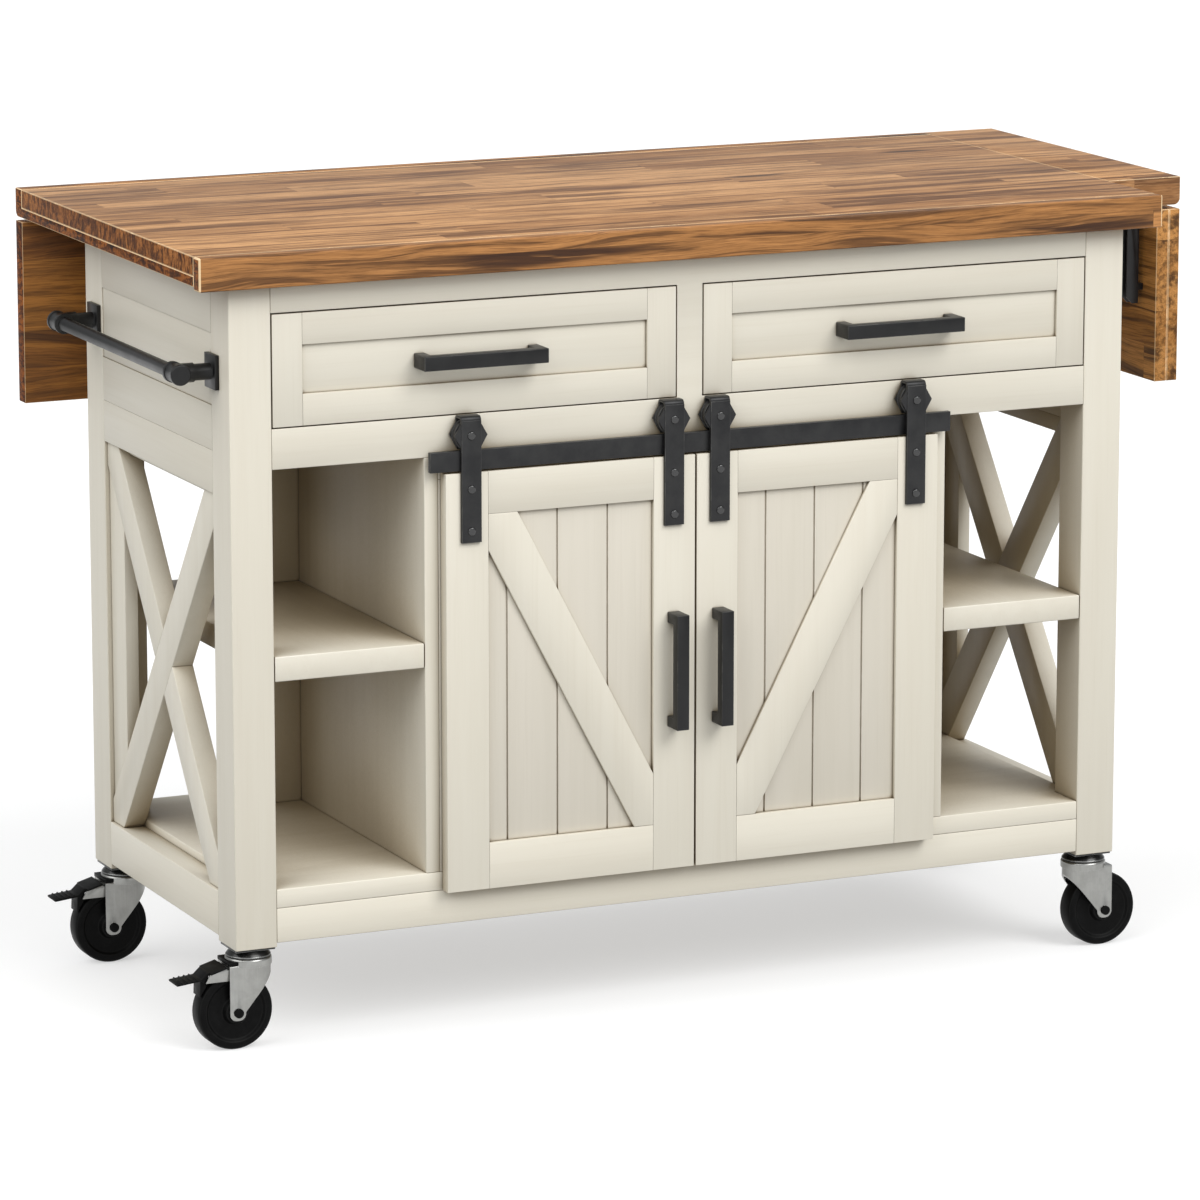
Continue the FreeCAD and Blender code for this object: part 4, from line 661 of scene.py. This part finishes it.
own_tone = mix_colours(stave, tone_random, wood_in.outputs["Light"], wood_in.outputs["Middle"])
contrast = wood_in.outputs["Contrast"]
banded = mix_colours(stave, math_of(stave, "MULTIPLY", math_of(
    stave, "MULTIPLY", step_up(stave, bands, 0.47, 0.66), contrast), 0.85), own_tone,
    wood_in.outputs["Heart"])
streaked = mix_colours(stave, math_of(stave, "MULTIPLY", math_of(
    stave, "MULTIPLY", step_up(stave, streaks, 0.49, 0.63), contrast), 0.60), banded,
    wood_in.outputs["Heart"])
paled = mix_colours(stave, math_of(stave, "MULTIPLY", step_up(stave, streaks, 0.47, 0.34), 0.60),
                    streaked, wood_in.outputs["Light"])
fibred = mix_colours(stave, math_of(stave, "MULTIPLY", step_up(stave, fibres, 0.48, 0.64), 0.40),
                     paled, wood_in.outputs["Heart"], "MULTIPLY")
pored = mix_colours(stave, math_of(stave, "MULTIPLY", step_up(stave, pores, 0.60, 0.68), 0.30),
                    fibred, PORE)
knotted = mix_colours(stave, math_of(stave, "MULTIPLY", knot, 0.85), pored, KNOT)

# Glue lines and butt joints: thin, and some of them too tight to see
row_edge = math_of(stave, "ABSOLUTE", math_of(stave, "SUBTRACT", math_of(
    stave, "FRACT", row_place), 0.5))
line = math_of(stave, "GREATER_THAN", row_edge, math_of(stave, "SUBTRACT", 0.5, math_of(
    stave, "DIVIDE", GLUE_HALF, wood_in.outputs["Stave Width"])))
run_edge = math_of(stave, "ABSOLUTE", math_of(stave, "SUBTRACT", math_of(
    stave, "FRACT", run_place), 0.5))
butt = math_of(stave, "GREATER_THAN", run_edge, math_of(stave, "SUBTRACT", 0.5, math_of(
    stave, "DIVIDE", BUTT_HALF, wood_in.outputs["Stave Length"])))
joint = math_of(stave, "MULTIPLY", math_of(stave, "MAXIMUM", line, butt), math_of(
    stave, "MULTIPLY", step_up(stave, bands, 0.35, 0.60), 0.55))
jointed = mix_colours(stave, joint, knotted, GLUE_LINE)

# A sawn end drinks more oil than a side, and shows rings, rays and small cracks
cracks = noise_at(stave, grain_place, (1.0, 210.0, 80.0), 3.0, 0.65)
ended = mix_colours(stave, 1.0, jointed, mix_colours(
    stave, step_up(stave, cracks, 0.47, 0.57), PALE_END_TINT, CRACKED_END_TINT), "MULTIPLY")
sawn = mix_colours(stave, math_of(stave, "MULTIPLY", wood_in.outputs["End"],
                                  wood_in.outputs["End Dark"]), jointed, ended)
# Wear and a painted highlight: rubbed arrises pale towards a light tan
wood_wear_and_highlight = add(stave, "ShaderNodeGroup", node_tree=wear_and_highlight, inputs={
    "Place": wood_in.outputs["Board"], "Edge": wood_in.outputs["Edge"], "Least": 0.60})
worn_and_highlit = mix_colours(stave, math_of(stave, "MULTIPLY", wood_wear_and_highlight.outputs[0], 0.80), sawn,
                   RUBBED_WOOD_HIGHLIGHT)
stave.links.new(worn_and_highlit, wood_out.inputs["Color"])
stave.links.new(math_of(stave, "MULTIPLY_ADD", wood_in.outputs["End"], 0.3, math_of(
    stave, "MULTIPLY_ADD", fibres, 0.24, 0.34)), wood_out.inputs["Roughness"])
stave.links.new(math_of(stave, "SUBTRACT", math_of(stave, "MULTIPLY_ADD", fibres, 0.7, math_of(
    stave, "MULTIPLY", streaks, 0.3)), math_of(stave, "MULTIPLY", pores, 0.4)),
    wood_out.inputs["Height"])


def block_wood(name, start, width, length, seed, light, middle, heart, contrast, fineness,
               end_dark=1.0, edge_highlight_share=1.0):
    """Butcher block whose staves have their own width, length and tones.

    start is where the first stave's side lies. end_dark is how far a sawn end darkens, and
    the edge share how far an arris pales with wear and a painted highlight.
    """
    material, tree, shader = new_material(name)
    board, piece_seed, edge = marks(tree)
    end = add(tree, "ShaderNodeAttribute", attribute_name="end_grain").outputs["Fac"]
    wood = add(tree, "ShaderNodeGroup", node_tree=stave, inputs={
        "Board": board, "Seed": math_of(tree, "ADD", piece_seed, seed),
        "Edge": math_of(tree, "MULTIPLY", edge, edge_highlight_share), "End": end,
        "Start": start, "Stave Width": width, "Stave Length": length, "Light": colour(*light),
        "Middle": colour(*middle), "Heart": colour(*heart), "Contrast": contrast,
        "Fineness": fineness, "End Dark": end_dark})
    bump = add(tree, "ShaderNodeBump", inputs={
        "Strength": 0.25, "Distance": 0.0004, "Height": wood.outputs["Height"]})
    tree.links.new(wood.outputs["Color"], shader.inputs["Base Color"])
    tree.links.new(wood.outputs["Roughness"], shader.inputs["Roughness"])
    tree.links.new(bump.outputs[0], shader.inputs["Normal"])
    shader.inputs["Specular IOR Level"].default_value = 0.28
    return material


def low_side(node, axis):
    """Where a node starts along an axis, in metres."""
    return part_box(node)[0]["XYZ".index(axis)]


LEAF_STAVE_WIDE = 0.043
slab_wood = block_wood(
    "slab_staves", start=low_side("worktop_slab", "Y"), width=0.0475, length=0.46, seed=1.0,
    light=(206, 156, 106), middle=(156, 109, 66), heart=(94, 58, 31), contrast=0.9, fineness=0.75)
# The front strip's arrises carry a strong painted highlight along with their wear
strip_wood = block_wood(
    "strip_staves", start=low_side("worktop_front_strip", "Z"), width=0.0215, length=1.7,
    seed=4.0, light=(204, 144, 86), middle=(154, 104, 56), heart=(64, 36, 16), contrast=1.15,
    fineness=1.0, edge_highlight_share=2.6)
leaf_wood = block_wood(
    "leaf_staves", start=low_side("back_leaf", "Z"), width=LEAF_STAVE_WIDE, length=0.5, seed=9.0,
    light=(184, 122, 54), middle=(114, 67, 26), heart=(60, 34, 12), contrast=0.7, fineness=0.8)
side_leaf_wood = block_wood(
    "side_leaf_staves", start=low_side("right_leaf", "Z"), width=LEAF_STAVE_WIDE, length=0.40,
    seed=14.0, light=(214, 153, 86), middle=(164, 110, 52), heart=(60, 34, 14), contrast=0.9,
    fineness=1.1, end_dark=0.0)
dressed("worktop_slab", "cart", slab_wood, arris=0.0012, axes="XYZ")
dressed("worktop_front_strip", "cart", strip_wood, arris=0.0020, axes="XZY")
dressed("worktop_edge_strips", "cart", strip_wood, arris=0.0008, axes="XZY")
dressed("worktop_extension", "cart", slab_wood, arris=0.0008, axes="XYZ")
dressed("back_leaf", "back_leaf_body", leaf_wood, arris=0.0010, axes="XZY")
dressed("right_leaf", "right_leaf_body", side_leaf_wood, arris=0.0010, axes="YZX")

# Casters: hard moulded wheels between pressed zinc forks, under dark domes that hold the balls.
# The two at the left have foot brakes: zinc arms, a black ribbed pedal and a black lock plate.
MOULDED_BLACK = colour(6, 6, 6)
SCUFFED_BLACK = colour(14, 14, 14)
RUBBED_BLACK = colour(30, 30, 29)
moulding, moulded_tree, moulded_shader = new_material("black_moulding")
moulded_place = add(moulded_tree, "ShaderNodeTexCoord").outputs["Object"]
moulded_edge = add(moulded_tree, "ShaderNodeAttribute", attribute_name="arris").outputs["Fac"]
scuffs = noise_at(moulded_tree, moulded_place, (90, 90, 90), 5.0, 0.65)
moulded_toned = mix_colours(moulded_tree, step_up(moulded_tree, scuffs, 0.40, 0.75),
                           MOULDED_BLACK, SCUFFED_BLACK)
moulded_tree.links.new(mix_colours(moulded_tree, math_of(
    moulded_tree, "MULTIPLY", moulded_edge, 0.35), moulded_toned, RUBBED_BLACK),
    moulded_shader.inputs["Base Color"])
moulded_tree.links.new(math_of(moulded_tree, "MULTIPLY_ADD", scuffs, 0.30, 0.30),
                      moulded_shader.inputs["Roughness"])
moulded_shader.inputs["Specular IOR Level"].default_value = 0.08
moulded_bump = add(moulded_tree, "ShaderNodeBump", inputs={
    "Strength": 0.12, "Distance": 0.0003, "Height": scuffs})
moulded_tree.links.new(moulded_bump.outputs[0], moulded_shader.inputs["Normal"])

DARK_STEEL = colour(44, 44, 44)
CLOUDED_STEEL = colour(70, 70, 69)
RUBBED_STEEL = colour(160, 160, 158)
steel, steel_tree, steel_shader = new_material("dark_steel")
steel_place = add(steel_tree, "ShaderNodeTexCoord").outputs["Object"]
steel_edge = add(steel_tree, "ShaderNodeAttribute", attribute_name="arris").outputs["Fac"]
steel_clouds = noise_at(steel_tree, steel_place, (120, 120, 120), 4.0, 0.6)
steel_toned = mix_colours(steel_tree, steel_clouds, DARK_STEEL, CLOUDED_STEEL)
steel_tree.links.new(mix_colours(steel_tree, math_of(
    steel_tree, "MULTIPLY", steel_edge, 0.5), steel_toned, RUBBED_STEEL),
    steel_shader.inputs["Base Color"])
steel_tree.links.new(math_of(steel_tree, "MULTIPLY_ADD", steel_clouds, 0.25, 0.16),
                     steel_shader.inputs["Roughness"])
steel_shader.inputs["Metallic"].default_value = 0.9
dressed("caster_mounts", "cart", steel, arris=0.0006)

FORK_FACE = 0.0197
PIN_REACH = 0.0095
LOCK_PLATE_LOW = 0.0995
ARM_STANDOFF = 0.010
for end in ("front", "back"):
    for side in ("left", "right"):
        fork = f"{end}_{side}_caster_fork"
        wheel = f"{end}_{side}_wheel"
        axle = sum((Vector(corner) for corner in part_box(wheel)), Vector()) / 2

        def on_axle(middle, axle=axle):
            """True for the bolt head and nut outside the fork's cheeks."""
            reach = math.hypot(middle.x - axle.x, middle.z - axle.z)
            return reach < PIN_REACH and abs(middle.y - axle.y) > FORK_FACE

        def is_fork(middle):
            """True for all that hangs below the lock plate, which shares the fork's node."""
            return middle.z < LOCK_PLATE_LOW

        dressed(fork, f"{end}_{side}_caster", zinc, arris=0.0005, wanted=is_fork,
                second=moulding, second_where=on_axle)
        if side == "left":
            dressed(fork, f"{end}_{side}_caster", moulding, arris=0.0008,
                    name=fork + "_lock_plate", wanted=lambda middle: not is_fork(middle))
        dressed(wheel, f"{end}_{side}_wheel_body", moulding, arris=0.0008)
    lever = f"{end}_left_brake_lever"
    lever_y = sum(corner[1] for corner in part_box(lever)) / 2

    def is_arm(middle, lever_y=lever_y):
        """True for the two thin steel side arms, which stand off the pedal's middle line."""
        return abs(middle.y - lever_y) > ARM_STANDOFF

    dressed(lever, f"{end}_left_brake", zinc, arris=0.0004, wanted=is_arm,
            name=lever + "_arms")
    dressed(lever, f"{end}_left_brake", moulding, arris=0.0007,
            wanted=lambda middle: not is_arm(middle), name=lever + "_pedal")

# A plain pale studio floor runs out past the picture's edges, so that only soft shadows show.
# It glows a little, as a lit paper floor does, and casts no colour back at the cart.
FLOOR_HALF = 30
FLOOR_GREY = (0.52, 0.52, 0.52, 1)
FLOOR_GLOW = 0.50
floor_mesh = bpy.data.meshes.new("studio_floor")
floor_shape = bmesh.new()
bmesh.ops.create_grid(floor_shape, x_segments=1, y_segments=1, size=FLOOR_HALF)
floor_shape.to_mesh(floor_mesh)
floor_shape.free()
floor = bpy.data.objects.new("studio_floor", floor_mesh)
bpy.context.scene.collection.objects.link(floor)
floor_material, _, floor_shader = new_material("pale_floor")
floor_shader.inputs["Base Color"].default_value = FLOOR_GREY
floor_shader.inputs["Roughness"].default_value = 0.7
floor_shader.inputs["Specular IOR Level"].default_value = 0.1
floor_shader.inputs["Emission Color"].default_value = (1, 1, 1, 1)
floor_shader.inputs["Emission Strength"].default_value = FLOOR_GLOW
floor_mesh.materials.append(floor_material)
floor.visible_diffuse = False

# The room is pale all round, brighter overhead than below, and a trace cool.
world = bpy.data.worlds.new("pale_surround")
bpy.context.scene.world = world
world.use_nodes = True
sky = world.node_tree
sky_place = add(sky, "ShaderNodeTexCoord").outputs["Generated"]
sky_height = add(sky, "ShaderNodeSeparateXYZ", inputs={0: sky_place}).outputs[2]
sky_tone = add(sky, "ShaderNodeMapRange", inputs={
    0: sky_height, 1: -0.6, 2: 0.8, 3: 0.30, 4: 0.62})
sky.links.new(sky_tone.outputs[0], sky.nodes["Background"].inputs["Strength"])
sky.nodes["Background"].inputs["Color"].default_value = (0.97, 0.99, 1.0, 1)


def soft_sun(name, azimuth, elevation, strength, spread):
    """A far softbox: azimuth 0 shines on the front, positive from the cart's right."""
    light = bpy.data.lights.new(name, "SUN")
    light.energy = strength
    light.angle = math.radians(spread)
    lamp = bpy.data.objects.new(name, light)
    turn = math.radians(azimuth)
    rise = math.radians(elevation)
    source = Vector((math.sin(turn) * math.cos(rise), -math.cos(turn) * math.cos(rise),
                     math.sin(rise)))
    lamp.location = source * 5
    lamp.rotation_euler = source.to_track_quat("Z", "Y").to_euler()
    bpy.context.scene.collection.objects.link(lamp)


# The key comes from the front right, a weaker fill from the high left, and a low one in front
# reaches under the worktop.
soft_sun("key_softbox", 27, 42, 1.80, 36)
soft_sun("fill_softbox", -78, 44, 1.5, 60)
soft_sun("front_fill", -10, 12, 0.48, 50)

# The camera stands where the photograph was taken from: a long lens, a little to the left.
AZIMUTH = math.radians(-24.2716)
ELEVATION = math.radians(11.8515)
TARGET = Vector((-0.00671, 0.00007, 0.43183)) + CABINET_TO_ORIGIN
DISTANCE = 7.30634
PHOTO_WIDTH = 1200
FOCAL_PIXELS = 6149.34
SENSOR_WIDTH = 36
back = Vector((math.sin(AZIMUTH) * math.cos(ELEVATION),
               -math.cos(AZIMUTH) * math.cos(ELEVATION), math.sin(ELEVATION)))
camera_data = bpy.data.cameras.new("photo_camera")
camera_data.sensor_width = SENSOR_WIDTH
camera_data.lens = FOCAL_PIXELS / PHOTO_WIDTH * SENSOR_WIDTH
camera_data.clip_end = 100
camera = bpy.data.objects.new("photo_camera", camera_data)
camera.location = TARGET + back * DISTANCE
camera.rotation_euler = (-back).to_track_quat("-Z", "Y").to_euler()
bpy.context.scene.collection.objects.link(camera)
bpy.context.scene.camera = camera
bpy.context.scene.view_settings.view_transform = "Standard"
